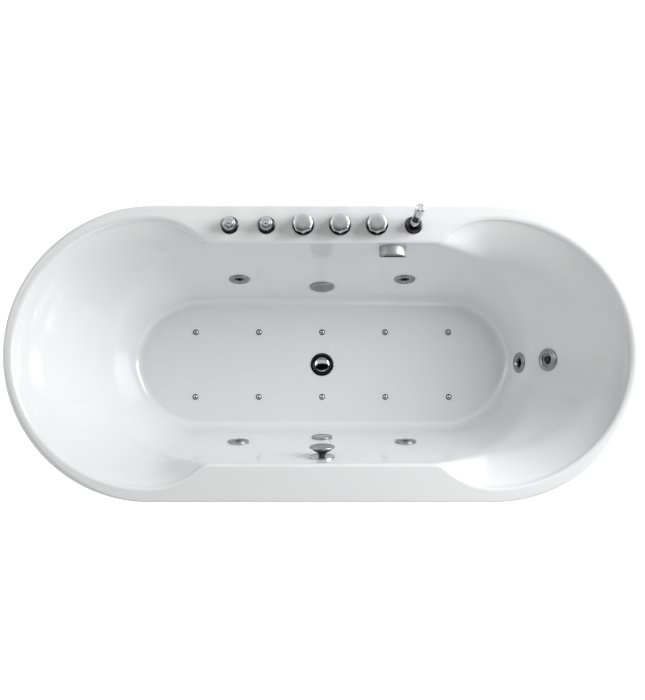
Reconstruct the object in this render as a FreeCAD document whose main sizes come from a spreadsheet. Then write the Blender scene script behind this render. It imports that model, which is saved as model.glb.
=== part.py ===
"""Free-standing jetted bathtub, as separate pieces.

Frame: millimetres, +Z up. The origin is on the floor under the centre of the tub. +X points to the foot
end, where the two end jets are, and +Y to the back, where the taps stand on the deck.
"""
import FreeCAD
import Part
import math
import os
import Sketcher

App = FreeCAD
UP = App.Vector(0, 0, 1)
BACK = App.Vector(0, 1, 0)
FOOT = App.Vector(1, 0, 0)
PI = math.pi

# ---------------------------------------------------------------------------------------------
# Driving sizes
# ---------------------------------------------------------------------------------------------
SIZES = [
    # overall form
    ("tub_length", 1700), ("tub_width", 790), ("tub_height", 600),
    ("shell_wall", 8), ("rim_lip_drop", 45), ("rim_edge_round", 14),
    # basin: a long trough with a flat floor
    ("floor_height", 180), ("floor_end_inset", 305), ("floor_side_inset", 203),
    ("trough_end_run", 182), ("trough_side_run", 103), ("floor_round", 46), ("ridge_round", 7),
    # end bowls: egg-shaped rings, each drawn in from the rim's ring to the end, the side and the middle
    ("rim_roll_width", 30), ("bowl_rim_inner_inset", 95),
    ("bowl_step_drop", 40), ("bowl_step_inset", 12), ("bowl_step_side_inset", 43),
    ("bowl_step_inner_inset", 171), ("bowl_mid_drop", 100), ("bowl_mid_side_inset", 91),
    ("bowl_mid_inner_inset", 230), ("bowl_low_drop", 160), ("bowl_low_side_inset", 122),
    ("bowl_low_inner_inset", 255), ("bowl_round_drop", 250), ("bowl_round_inset", 182),
    ("bowl_round_inner_inset", 275), ("bowl_foot_drop", 350), ("bowl_foot_inner_inset", 305),
    # outer skirt
    ("skirt_wall", 6), ("skirt_gap", 1), ("skirt_end_run", 91), ("skirt_side_run", 86),
    ("skirt_floor_gap", 12), ("skirt_flange", 18),
    # deck row: switches, knobs and hand shower
    ("deck_row_inset", 54), ("deck_row_pitch", 98.4), ("deck_row_start_x", -247),
    ("switch_flange_radius", 24), ("switch_flange_thick", 5), ("switch_neck_radius", 19),
    ("switch_top_radius", 15.5), ("switch_height", 36), ("switch_taper", 12), ("switch_stem_radius", 12),
    ("switch_stem_length", 46), ("switch_nut_radius", 20), ("switch_nut_thick", 8),
    ("button_radius", 11.5), ("button_length", 22), ("button_rise", 8), ("button_travel", 5),
    ("button_clearance", 0.3),
    ("knob_radius", 30), ("knob_height", 38), ("knob_top_radius", 24), ("knob_dish", 3),
    ("knob_lift", 9), ("knob_flute_count", 8), ("knob_flute_radius", 9), ("knob_flute_bite", 3.2),
    ("knob_base_radius", 26), ("valve_radius", 16), ("valve_length", 74), ("valve_nut_radius", 23),
    ("valve_nut_thick", 9), ("spindle_radius", 6), ("spindle_length", 58), ("running_gap", 0.05),
    ("holder_radius", 24), ("holder_height", 26), ("holder_round", 4), ("holder_stem_radius", 17),
    ("holder_stem_length", 40), ("holder_bore_radius", 12.5), ("handset_radius", 11),
    ("handset_head_radius", 13), ("handset_length", 182), ("handset_head_length", 46),
    ("handset_socket", 30), ("handset_lean_back", 5), ("handset_lean_side", 2),
    ("hose_radius", 7), ("hose_bore_radius", 4),
    # waterfall spout
    ("spout_x", 190), ("spout_drop", 24), ("spout_width", 72), ("spout_height", 24),
    ("spout_arch_rise", 17), ("spout_reach", 29), ("spout_round", 3), ("spout_side_wall", 7), ("spout_slot_rise", 7),
    ("spout_slot_height", 7), ("spout_slot_floor", 8), ("spout_pipe_radius", 10),
    # jets
    ("side_jet_x", 236), ("side_jet_rise", 165), ("foot_jet_low_rise", 68),
    ("foot_jet_high_rise", 174), ("jet_face_radius", 30), ("jet_face_thick", 5),
    ("jet_ball_radius", 15), ("jet_mouth_radius", 13), ("jet_bore_radius", 6),
    ("jet_body_radius", 22), ("jet_body_length", 46), ("jet_nut_radius", 29), ("jet_nut_thick", 9),
    ("barrel_wall", 3.7), ("ball_gap", 0.3), ("rotor_face_radius", 32), ("rotor_radius", 19),
    ("rotor_port_radius", 3.2), ("rotor_port_reach", 9.5), ("rotor_port_slant", 10),
    # suction and light
    ("fitting_rise", 108), ("suction_radius", 36), ("suction_thick", 9), ("light_radius", 30),
    ("light_thick", 5),
    # air injectors
    ("injector_pitch", 187), ("injector_row_y", 96), ("injector_columns", 5),
    ("injector_radius", 8.5), ("injector_rise", 5), ("injector_stem_radius", 5),
    ("injector_stem_length", 30), ("injector_nut_radius", 9.5),
    # drain and overflow
    ("drain_flange_radius", 34), ("drain_flange_thick", 3), ("drain_bore_radius", 25),
    ("drain_body_radius", 29), ("drain_body_length", 60), ("drain_cup_length", 102),
    ("drain_seat_depth", 8), ("plug_radius", 22), ("plug_stem_radius", 4),
    ("overflow_drop", 74), ("overflow_plate_radius", 35),
    ("overflow_knob_radius", 34), ("overflow_knob_thick", 12), ("overflow_standoff", 20),
    ("overflow_stem_radius", 9), ("overflow_shaft_radius", 5), ("overflow_body_radius", 27),
    ("overflow_body_length", 34), ("waste_pipe_radius", 20),
    ("overflow_pipe_radius", 12),
    # frame and feet
    ("baseboard_length", 900), ("baseboard_width", 300), ("baseboard_thick", 18),
    ("rail_size", 30), ("rail_wall", 2.5), ("rail_spacing", 270), ("frame_length", 1080),
    ("cross_rail_x", 160), ("cross_rail_inset", 95), ("foot_inset", 155), ("foot_stud_radius", 6),
    ("foot_pad_radius", 27), ("foot_pad_thick", 14), ("end_board_thick", 12), ("end_board_inset", 294),
    # pump and blower
    ("pump_inset", 195), ("pump_axis_z", 96), ("motor_radius", 58), ("motor_length", 150),
    ("volute_radius", 66), ("volute_length", 62), ("impeller_radius", 46), ("shaft_radius", 7),
    ("blower_inset", 195), ("blower_radius", 70), ("blower_height", 60), ("blower_fan_radius", 52),
    ("blower_motor_radius", 40), ("fan_shaft_radius", 5), ("control_end_inset", 250),
    ("control_side_inset", 220), ("control_length", 80), ("control_width", 60), ("control_height", 110),
    # pipes and hoses
    ("pipe_radius", 16), ("pipe_wall", 2.5), ("head_line_inset", 150), ("small_hose_radius", 6),
    ("supply_radius", 8), ("supply_inset", 137), ("supply_end_z", 30), ("manifold_radius", 10),
    ("switch_tube_radius", 3),
]


class Size:
    """A length that knows its value now and the sheet formula that drives it."""

    def __init__(self, value, formula):
        self.value = value
        self.formula = formula

    def _with(self, other, sign, result):
        return Size(result, "(%s %s %s)" % (self.formula, sign, as_size(other).formula))

    def __add__(self, other):
        return self._with(other, "+", self.value + float(other))

    def __sub__(self, other):
        return self._with(other, "-", self.value - float(other))

    def __mul__(self, other):
        return self._with(other, "*", self.value * float(other))

    def __truediv__(self, other):
        return self._with(other, "/", self.value / float(other))

    def __radd__(self, other):
        return as_size(other) + self

    def __rsub__(self, other):
        return as_size(other) - self

    def __rmul__(self, other):
        return as_size(other) * self

    def __neg__(self):
        return 0 - self

    def __float__(self):
        return float(self.value)


def as_size(number):
    """A plain number as a Size; a Size stays as it is."""
    if isinstance(number, Size):
        return number
    return Size(float(number), "(%r)" % float(number))


doc = App.newDocument("JettedBathtub")
sheet = doc.addObject("Spreadsheet::Sheet", "Sizes")
for row, (alias, number) in enumerate(SIZES, start=1):
    sheet.set("A%d" % row, alias.replace("_", " "))
    sheet.set("B%d" % row, str(number))
    sheet.setAlias("B%d" % row, alias)
doc.recompute()


class Sizes:
    """Every driving size by its name, such as S.tub_length."""


S = Sizes()
for alias, number in SIZES:
    setattr(S, alias, Size(float(sheet.get(alias)), "Sizes." + alias))

# what everything else is measured from
HALF_LENGTH = S.tub_length / 2
END_RADIUS = S.tub_width / 2
FLOOR_Z = S.floor_height
TROUGH_DEPTH = S.tub_height - S.floor_height
FLOOR_HALF_LENGTH = HALF_LENGTH - S.floor_end_inset
FLOOR_HALF_WIDTH = END_RADIUS - S.floor_side_inset
BOWL_CENTRE_X = HALF_LENGTH - END_RADIUS
BOWL_RIM = END_RADIUS - S.rim_roll_width
DECK_ROW_Y = END_RADIUS - S.deck_row_inset
PUMP_X = S.pump_inset - HALF_LENGTH
BLOWER_X = HALF_LENGTH - S.blower_inset
CONTROL_X = HALF_LENGTH - S.control_end_inset
CONTROL_Y = END_RADIUS - S.control_side_inset
HEAD_LINE_X = HALF_LENGTH - S.head_line_inset
# the gap between pieces that stand in one another, and a depth that goes through any wall
CLEAR = 0.3
DRILL_DEPTH = 60

NODES = {}


def keep(obj, label):
    """Names an object as one of the pieces that are written out."""
    obj.Label = label
    NODES[label] = obj
    return obj


def vec(x, y, z):
    """A point or direction from sizes or numbers."""
    return App.Vector(float(x), float(y), float(z))


def spot(x, y, z, direction=UP, turn=0.0):
    """A placement at a point, with the piece's own +Z along a direction."""
    turning = App.Rotation(UP, direction)
    return App.Placement(vec(x, y, z), turning * App.Rotation(UP, turn))


def bind_place(obj, place, x=None, y=None, z=None):
    """Sets a placement and ties its position to the sheet."""
    obj.Placement = place
    for axis, size in (("x", x), ("y", y), ("z", z)):
        if isinstance(size, Size):
            obj.setExpression(".Placement.Base." + axis, size.formula)


# ---------------------------------------------------------------------------------------------
# Ways of making a piece
# ---------------------------------------------------------------------------------------------
def origin_plane(body, role):
    """One of a body's own origin planes."""
    return next(f for f in body.Origin.OriginFeatures if f.Role == role)


def outline_sketch(body, role, name, corners):
    """A closed outline on one of the body's planes, each corner held by two driven sizes."""
    sketch = body.newObject("Sketcher::SketchObject", name)
    sketch.AttachmentSupport = [(origin_plane(body, role), "")]
    sketch.MapMode = "FlatFace"
    points = [vec(a, b, 0) for a, b in corners]
    count = len(points)
    for i in range(count):
        sketch.addGeometry(Part.LineSegment(points[i], points[(i + 1) % count]), False)
    for i in range(count):
        sketch.addConstraint(Sketcher.Constraint("Coincident", i, 2, (i + 1) % count, 1))
    for i, corner in enumerate(corners):
        for kind, size in zip(("DistanceX", "DistanceY"), corner):
            size = as_size(size)
            index = sketch.addConstraint(Sketcher.Constraint(kind, -1, 1, i, 1, size.value))
            sketch.setExpression("Constraints[%d]" % index, size.formula)
    return sketch


def turned(name, profile, rounds=()):
    """A piece turned about its own Z axis from (radius, height) corners.

    Each entry of rounds is (radius, height, size): the circular edge there gets a fillet.
    """
    body = doc.addObject("PartDesign::Body", name)
    sketch = outline_sketch(body, "XZ_Plane", name + "_profile", profile)
    turn = body.newObject("PartDesign::Revolution", name + "_turn")
    turn.Profile = sketch
    turn.ReferenceAxis = (sketch, ["V_Axis"])
    turn.Angle = 360
    body.Tip = turn
    doc.recompute()
    for index, (radius, height, size) in enumerate(rounds):
        round_edges(body, name, index, radius, height, size)
    return body


def round_edges(body, name, index, radius, height, size):
    """A fillet on the full circle of one radius at one height."""
    base = body.Tip
    edges = [
        "Edge%d" % (number + 1)
        for number, edge in enumerate(base.Shape.Edges)
        if isinstance(edge.Curve, Part.Circle)
        and abs(edge.Curve.Radius - float(radius)) < 1e-4
        and abs(edge.Curve.Center.z - float(height)) < 1e-4
    ]
    fillet = body.newObject("PartDesign::Fillet", "%s_round_%d" % (name, index))
    fillet.Base = (base, edges)
    fillet.Radius = float(size)
    if isinstance(size, Size):
        fillet.setExpression("Radius", size.formula)
    body.Tip = fillet
    doc.recompute()


def block(name, length, width, height, x, y, z):
    """A box centred on x and y, standing on z."""
    box = doc.addObject("Part::Box", name)
    for prop, size in (("Length", length), ("Width", width), ("Height", height)):
        box.setExpression(prop, as_size(size).formula)
    corner = (as_size(x) - as_size(length) / 2, as_size(y) - as_size(width) / 2, as_size(z))
    bind_place(box, App.Placement(), *corner)
    return box


def shaped(label, shape, place=None):
    """A piece whose shape is worked out here from the sheet's sizes."""
    feature = doc.addObject("Part::Feature", label)
    feature.Shape = shape
    if place is not None:
        feature.Placement = place
    return keep(feature, label)


def copies(shape, places):
    """One compound of a shape at several placements."""
    pieces = []
    for place in places:
        piece = shape.copy()
        piece.Placement = place.multiply(shape.Placement)
        pieces.append(piece)
    return Part.makeCompound(pieces)


def disc(radius, height, x, y, z, direction=UP):
    """A plain round bar from a point along a direction, as a cutting or building shape."""
    return Part.makeCylinder(float(radius), float(height), vec(x, y, z), direction)


def route(points, bend):
    """A path of straight runs joined by arcs that touch both runs."""
    edges = []
    start = points[0]
    for before, corner, after in zip(points, points[1:], points[2:]):
        back = (before - corner).normalize()
        ahead = (after - corner).normalize()
        half = back.getAngle(ahead) / 2
        reach = float(bend) / math.tan(half)
        first = corner + back * reach
        last = corner + ahead * reach
        middle = corner + (back + ahead).normalize() * (float(bend) / math.sin(half) - float(bend))
        edges.append(Part.LineSegment(start, first).toShape())
        edges.append(Part.Arc(first, middle, last).toShape())
        start = last
    edges.append(Part.LineSegment(start, points[-1]).toShape())
    return Part.Wire(edges)


def tube(points, radius, bend, bore=None):
    """A round pipe or hose along a path, hollow where a bore is given."""
    path = route(points, bend)
    along = points[1] - points[0]
    ring = Part.Wire(Part.Circle(points[0], along, float(radius)).toShape())
    solid = path.makePipeShell([ring], True, False)
    if bore is not None:
        hole = Part.Wire(Part.Circle(points[0], along, float(bore)).toShape())
        solid = solid.cut(path.makePipeShell([hole], True, False))
    length = path.Length
    section = PI * (float(radius) ** 2 - (float(bore) ** 2 if bore is not None else 0.0))
    assert abs(solid.Volume - section * length) < 0.01 * section * length, "pipe lost volume"
    return solid


# ---------------------------------------------------------------------------------------------
# Basin shell
# ---------------------------------------------------------------------------------------------
def stadium(half_length, half_width, z):
    """A level outline with straight sides and round ends."""
    a, b, z = float(half_length), float(half_width), float(z)
    c = a - b
    return Part.Wire([
        Part.LineSegment(vec(-c, -b, z), vec(c, -b, z)).toShape(),
        Part.Arc(vec(c, -b, z), vec(a, 0, z), vec(c, b, z)).toShape(),
        Part.LineSegment(vec(c, b, z), vec(-c, b, z)).toShape(),
        Part.Arc(vec(-c, b, z), vec(-a, 0, z), vec(-c, -b, z)).toShape(),
    ])


def trough(grow, top, bottom):
    """The straight-sided part of the basin, grown all round by a wall, from bottom to top."""
    def section(z):
        share = (z - float(FLOOR_Z)) / float(TROUGH_DEPTH)
        length = FLOOR_HALF_LENGTH + S.trough_end_run * share
        width = FLOOR_HALF_WIDTH + S.trough_side_run * share
        return stadium(length + grow, width + grow, z)
    body = Part.makeLoft([section(float(bottom)), section(float(top))], True, True)
    rim = [e for e in body.Edges if e.BoundBox.ZMax < float(bottom) + 0.01]
    return body.makeFillet(float(S.floor_round + grow), rim)


def egg(reach, side, inner, z):
    """A level ring of two half ellipses about the bowl's centre, longer towards the end."""
    halves = []
    for along, start in ((reach, -PI / 2), (inner, PI / 2)):
        arc = Part.Circle().toShape().Curve
        half = Part.ArcOfCircle(arc, start, start + PI).toShape()
        stretch = App.Matrix()
        stretch.scale(float(along), float(side), 1.0)
        half = half.transformGeometry(stretch)
        half.translate(vec(BOWL_CENTRE_X, 0, z))
        halves.append(half)
    return Part.Wire(halves)


def bowl(grow, over):
    """One end bowl as a smooth loft of rings, grown by a wall and carried up past the rim."""
    rings = [
        (0, 0, 0, S.bowl_rim_inner_inset),
        (S.bowl_step_drop, S.bowl_step_inset, S.bowl_step_side_inset, S.bowl_step_inner_inset),
        (S.bowl_mid_drop, slope_inset(S.bowl_mid_drop), S.bowl_mid_side_inset, S.bowl_mid_inner_inset),
        (S.bowl_low_drop, slope_inset(S.bowl_low_drop), S.bowl_low_side_inset, S.bowl_low_inner_inset),
        (S.bowl_round_drop, S.bowl_round_inset, S.bowl_round_inset, S.bowl_round_inner_inset),
        (S.bowl_foot_drop, slope_inset(S.bowl_foot_drop), slope_inset(S.bowl_foot_drop),
         S.bowl_foot_inner_inset),
    ]
    wires = [egg(BOWL_RIM - end + grow, BOWL_RIM - side + grow, BOWL_RIM - inner + grow,
                 S.tub_height - drop) for drop, end, side, inner in rings]
    solid = Part.makeLoft(wires, True, False)
    if float(over) > 0:
        cap = Part.Face(wires[0])
        solid = solid.fuse(cap.extrude(vec(0, 0, over)))
    return solid


def slope_inset(drop):
    """How far the bowl's straight slope is drawn in from the rim's ring at a drop below the rim."""
    slope = (S.bowl_round_inset - S.bowl_step_inset) / (S.bowl_round_drop - S.bowl_step_drop)
    return S.bowl_step_inset + (drop - S.bowl_step_drop) * slope


def both_ends(shape):
    """A shape at the foot end and its mirror image at the head end."""
    return [shape, shape.mirror(vec(0, 0, 0), FOOT)]


def cavity(grow, over, bottom):
    """The basin's inner space, or its outer form when grown by the wall."""
    top = S.tub_height + over
    return trough(grow, top, bottom).multiFuse(both_ends(bowl(grow, over)))


def ring_prism(half_length, half_width, low, high):
    """An upright solid with a stadium outline."""
    return Part.Face(stadium(half_length, half_width, low)).extrude(vec(0, 0, high - low))


def rounded_top(solid, size):
    """A fillet on every edge that lies at a solid's highest level."""
    top = solid.BoundBox.ZMax
    edges = [e for e in solid.Edges if e.BoundBox.ZMin > top - 0.01]
    return solid.makeFillet(float(size), edges)


RIM_UNDERSIDE = S.tub_height - S.shell_wall
LIP_BOTTOM = S.tub_height - S.rim_lip_drop


def plain_shell():
    """The basin with its rim, before the fittings' holes are drilled."""
    rim = ring_prism(HALF_LENGTH, END_RADIUS, LIP_BOTTOM, S.tub_height)
    rim = rounded_top(rim, S.rim_edge_round)
    hollow = ring_prism(HALF_LENGTH - S.shell_wall, END_RADIUS - S.shell_wall,
                        LIP_BOTTOM - 1, RIM_UNDERSIDE)
    shell = rim.cut(hollow).fuse(cavity(S.shell_wall, 0, FLOOR_Z - S.shell_wall))
    shell = shell.removeSplitter().cut(cavity(0, S.shell_wall, FLOOR_Z)).Solids[0]
    top = float(S.tub_height)
    inward = float(HALF_LENGTH - S.rim_edge_round) - 1
    ridge = [e for e in shell.Edges
             if e.BoundBox.ZMin > top - 0.01 and e.BoundBox.XMax < inward
             and abs(e.CenterOfMass.y) < float(END_RADIUS - S.rim_edge_round) - 1]
    return shell.makeFillet(float(S.ridge_round), ridge)


# ---------------------------------------------------------------------------------------------
# Where fittings stand on the walls
# ---------------------------------------------------------------------------------------------
def wall_share(rise):
    """How far up the trough wall a rise above the floor is, from 0 at the floor to 1 at the rim."""
    return rise / TROUGH_DEPTH


def lean(run, rise):
    """A wall's angle from upright."""
    return math.atan(float(run) / float(rise))


SIDE_LEAN = lean(S.trough_side_run, TROUGH_DEPTH)
END_LEAN = lean(S.trough_end_run, TROUGH_DEPTH)
BOWL_LEAN = lean(S.bowl_round_inset - S.bowl_step_inset, S.bowl_round_drop - S.bowl_step_drop)


def on_side_wall(x, rise, side):
    """A place on the back (side 1) or front (side -1) wall, facing into the basin."""
    width = FLOOR_HALF_WIDTH + S.trough_side_run * wall_share(rise)
    facing = vec(0, -side * math.cos(SIDE_LEAN), math.sin(SIDE_LEAN))
    return spot(x, width * side, FLOOR_Z + rise, facing)


def on_end_wall(rise):
    """A place on the trough's foot-end wall, facing into the basin."""
    length = FLOOR_HALF_LENGTH + S.trough_end_run * wall_share(rise)
    return spot(length, 0, FLOOR_Z + rise, vec(-math.cos(END_LEAN), 0, math.sin(END_LEAN)))


def on_bowl(rise):
    """A place on the foot-end bowl's slope, facing into the basin."""
    facing = vec(-math.cos(BOWL_LEAN), 0, math.sin(BOWL_LEAN))
    reach = BOWL_RIM - slope_inset(TROUGH_DEPTH - rise)
    return spot(BOWL_CENTRE_X + reach, 0, FLOOR_Z + rise, facing)


def deck_x(number):
    """Where a fitting of the deck row stands, counted from the head end."""
    return S.deck_row_start_x + S.deck_row_pitch * number


SIDE_JETS = [on_side_wall(S.side_jet_x * end, S.side_jet_rise, side)
             for side in (1, -1) for end in (-1, 1)]
LOW_JET = on_end_wall(S.foot_jet_low_rise)
HIGH_JET = on_bowl(S.foot_jet_high_rise)
SUCTION = on_side_wall(0, S.fitting_rise, 1)
LIGHT = on_side_wall(0, S.fitting_rise, -1)
OVERFLOW = on_side_wall(0, TROUGH_DEPTH - S.overflow_drop, -1)
SPOUT = on_side_wall(S.spout_x, TROUGH_DEPTH - S.spout_drop, 1)
INJECTORS = [App.Placement(vec(S.injector_pitch * (column - float(S.injector_columns - 1) / 2),
                               S.injector_row_y * side, FLOOR_Z), App.Rotation())
             for side in (1, -1) for column in range(int(S.injector_columns.value))]
HANDSET_AXIS = vec(math.sin(math.radians(float(S.handset_lean_side))),
                   math.sin(math.radians(float(S.handset_lean_back))), 1).normalize()
HANDSET = spot(deck_x(5), DECK_ROW_Y, S.tub_height + S.holder_height, HANDSET_AXIS)
BARREL_RADIUS = S.jet_ball_radius + S.ball_gap + S.barrel_wall
ROTOR_BARREL_RADIUS = S.rotor_radius + S.ball_gap + S.barrel_wall


def drill(radius, place):
    """A round hole through the shell at a fitting's place."""
    hole = disc(as_size(radius) + CLEAR, DRILL_DEPTH, 0, 0, -DRILL_DEPTH / 2)
    hole.Placement = place.multiply(hole.Placement)
    return hole


def deck_place(number):
    """A place on the deck's top face."""
    return spot(deck_x(number), DECK_ROW_Y, S.tub_height)


def drilled_shell():
    """The basin with a hole for every fitting."""
    holes = [drill(BARREL_RADIUS, place) for place in SIDE_JETS + [LOW_JET]]
    holes.append(drill(ROTOR_BARREL_RADIUS, HIGH_JET))
    holes += [drill(BARREL_RADIUS, place) for place in (SUCTION, LIGHT)]
    holes.append(drill(S.overflow_stem_radius, OVERFLOW))
    holes.append(drill(S.spout_pipe_radius, SPOUT))
    holes += [drill(S.injector_stem_radius, place) for place in INJECTORS]
    holes.append(drill(S.drain_body_radius, spot(0, 0, FLOOR_Z)))
    holes += [drill(S.switch_stem_radius, deck_place(number)) for number in (0, 1)]
    holes += [drill(S.valve_radius, deck_place(number)) for number in (2, 3, 4)]
    holes.append(drill(S.holder_stem_radius, deck_place(5)))
    flats = [disc(S.jet_face_radius + CLEAR, 10, 0, 0, 0), disc(S.rotor_face_radius + CLEAR, 10, 0, 0, 0)]
    for flat, place in zip(flats, (LOW_JET, HIGH_JET)):
        flat.Placement = place.multiply(flat.Placement)
        holes.append(flat)
    return plain_shell().cut(Part.makeCompound(holes))


shaped("basin_shell", drilled_shell())


# ---------------------------------------------------------------------------------------------
# Outer skirt
# ---------------------------------------------------------------------------------------------
SKIRT_TOP_LENGTH = HALF_LENGTH - S.shell_wall - S.skirt_gap
SKIRT_TOP_WIDTH = END_RADIUS - S.shell_wall - S.skirt_gap
SKIRT_RISE = RIM_UNDERSIDE - S.skirt_floor_gap


def skirt_section(z, inset):
    """The skirt's outline at a height, drawn in from its outer face."""
    fall = (RIM_UNDERSIDE - z) / SKIRT_RISE
    length = SKIRT_TOP_LENGTH - S.skirt_end_run * fall
    width = SKIRT_TOP_WIDTH - S.skirt_side_run * fall
    return length - inset, width - inset


def skirt_solid(low, high, inset):
    """The tapered solid inside the skirt's outer face, or inside its inner face."""
    wires = [stadium(*skirt_section(z, inset), z) for z in (low, high)]
    return Part.makeLoft(wires, True, True)


def outer_skirt():
    """A tapered shell with a flange turned in at its foot."""
    top = RIM_UNDERSIDE
    skirt = skirt_solid(S.skirt_floor_gap, top, 0)
    skirt = skirt.cut(skirt_solid(S.skirt_floor_gap - 1, top + 1, S.skirt_wall))
    ring_top = S.skirt_floor_gap + S.skirt_wall
    flange = skirt_solid(S.skirt_floor_gap, ring_top, S.skirt_wall / 2)
    flange = flange.cut(skirt_solid(S.skirt_floor_gap - 1, ring_top + 1, S.skirt_flange))
    return skirt.fuse(flange).removeSplitter()


shaped("outer_skirt", outer_skirt())


# ---------------------------------------------------------------------------------------------
# Deck row: two push switches, three valves with knobs, and the hand shower
# ---------------------------------------------------------------------------------------------
def on_deck(obj, label, number, z):
    """Stands a piece on the deck row and keeps it."""
    x = S.deck_row_start_x + S.deck_row_pitch * number
    place = spot(x, DECK_ROW_Y, z)
    bind_place(obj, place, as_size(x), DECK_ROW_Y, as_size(z))
    return keep(obj, label)


def switch_body(name):
    """A stepped bell with a threaded stem below the deck and a well for the button."""
    well = S.button_radius + S.button_clearance
    floor = S.switch_height + S.button_rise - S.button_length - S.button_travel - S.button_clearance
    return turned(name, [
        (0, -S.switch_stem_length), (S.switch_stem_radius, -S.switch_stem_length),
        (S.switch_stem_radius, 0), (S.switch_flange_radius, 0),
        (S.switch_flange_radius, S.switch_flange_thick), (S.switch_neck_radius, S.switch_flange_thick),
        (S.switch_neck_radius, S.switch_height - S.switch_taper), (S.switch_top_radius, S.switch_height),
        (well, S.switch_height), (well, floor), (0, floor),
    ], rounds=[(S.switch_flange_radius, S.switch_flange_thick, 2)])


def switch_button(name):
    """A plunger whose top stands proud of the bell."""
    return turned(name, [(0, 0), (S.button_radius, 0), (S.button_radius, S.button_length),
                         (0, S.button_length)],
                  rounds=[(S.button_radius, S.button_length, 1.5)])


BUTTON_Z = S.tub_height + S.switch_height + S.button_rise - S.button_length
for number, switch in enumerate(("jet_switch", "air_switch")):
    on_deck(switch_button(switch + "_plunger"), switch + "_button", number, BUTTON_Z)
bell = switch_body("switch_bell")
doc.recompute()
shaped("switch_housings", copies(bell.Shape, [deck_place(number) for number in (0, 1)]))


def nut(name, outer, bore, thick):
    """A round nut seen from below the deck or behind a wall."""
    return turned(name, [(bore, 0), (outer, 0), (outer, thick), (bore, thick)])


switch_nut = nut("switch_nut", S.switch_nut_radius, S.switch_stem_radius + CLEAR, S.switch_nut_thick)
valve_nut = nut("valve_nut", S.valve_nut_radius, S.valve_radius + CLEAR, S.valve_nut_thick)
holder_nut = nut("holder_nut", S.valve_nut_radius, S.holder_stem_radius + CLEAR, S.valve_nut_thick)
doc.recompute()
DECK_NUT_Z = RIM_UNDERSIDE - S.valve_nut_thick
NUTS = copies(switch_nut.Shape, [spot(deck_x(n), DECK_ROW_Y, RIM_UNDERSIDE - S.switch_nut_thick)
                                 for n in (0, 1)]).Solids
NUTS += copies(valve_nut.Shape, [spot(deck_x(n), DECK_ROW_Y, DECK_NUT_Z) for n in (2, 3, 4)]).Solids
NUTS += copies(holder_nut.Shape, [spot(deck_x(5), DECK_ROW_Y, DECK_NUT_Z)]).Solids


def valve_body(name):
    """A valve barrel through the deck with a collar above and a bore for the spindle."""
    bore = S.spindle_radius + S.running_gap
    low = S.knob_lift - S.spindle_length - S.running_gap
    return turned(name, [
        (0, -S.valve_length), (S.valve_radius, -S.valve_length), (S.valve_radius, 0),
        (S.knob_base_radius, 0), (S.knob_base_radius, S.knob_lift - 2 * CLEAR),
        (bore, S.knob_lift - 2 * CLEAR), (bore, low), (0, low),
    ])


def fluted_knob():
    """A domed knob with a dished top and broad flutes cut round its side."""
    knob = Part.makeCone(float(S.knob_radius), float(S.knob_top_radius), float(S.knob_height))
    rim = [e for e in knob.Edges if e.BoundBox.ZMin > float(S.knob_height) - 0.01]
    knob = knob.makeFillet(float(S.knob_dish), rim)
    count = int(S.knob_flute_count.value)
    offset = float(S.knob_radius + S.knob_flute_radius - S.knob_flute_bite)
    flutes = []
    for i in range(count):
        angle = 2 * PI * i / count
        flutes.append(disc(S.knob_flute_radius, S.knob_height * 0.82, offset * math.cos(angle),
                           offset * math.sin(angle), -1))
    return knob.cut(Part.makeCompound(flutes))


VALVES = ("hot_valve", "cold_valve", "diverter")
barrel = valve_body("valve_barrel")
spindle = doc.addObject("Part::Cylinder", "valve_spindle")
spindle.setExpression("Radius", S.spindle_radius.formula)
spindle.setExpression("Height", S.spindle_length.formula)
spindle.setExpression(".Placement.Base.z", (-S.spindle_length).formula)
doc.recompute()
shaped("valve_bodies", copies(barrel.Shape, [deck_place(number) for number in (2, 3, 4)]))
knob_and_spindle = Part.makeCompound([fluted_knob(), spindle.Shape.Solids[0]])
for number, valve in enumerate(VALVES, start=2):
    shaped(valve + "_knob", knob_and_spindle,
           spot(deck_x(number), DECK_ROW_Y, S.tub_height + S.knob_lift))


def holder():
    """The deck collar that the hand shower stands in, bored along the handset's lean."""
    outer = disc(S.holder_radius, S.holder_height, 0, 0, 0)
    outer = rounded_top(outer, S.holder_round)
    outer = outer.fuse(disc(S.holder_stem_radius, S.holder_stem_length, 0, 0, -S.holder_stem_length))
    bore_place = App.Placement(vec(0, 0, S.holder_height), App.Rotation(UP, HANDSET_AXIS))
    depth = S.handset_socket + CLEAR
    socket = disc(S.holder_bore_radius, depth + 10, 0, 0, -depth)
    through = disc(S.hose_radius + 2 * CLEAR, 3 * S.holder_stem_length, 0, 0, -3 * S.holder_stem_length)
    bores = socket.fuse(through)
    bores.Placement = bore_place
    return outer.cut(bores)


shaped("shower_holder", holder(), spot(deck_x(5), DECK_ROW_Y, S.tub_height))
handset = turned("handset", [
    (0, -S.handset_socket), (S.handset_radius, -S.handset_socket), (S.handset_radius, S.handset_length
     - S.handset_head_length - S.holder_height), (S.handset_head_radius, S.handset_length
     - S.handset_head_length - S.holder_height + 6), (S.handset_head_radius, S.handset_length
     - S.holder_height), (0, S.handset_length - S.holder_height),
], rounds=[(S.handset_head_radius, S.handset_length - S.holder_height, 2)])
bind_place(handset, HANDSET, as_size(deck_x(5)), DECK_ROW_Y, S.tub_height + S.holder_height)
keep(handset, "hand_shower")


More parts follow.
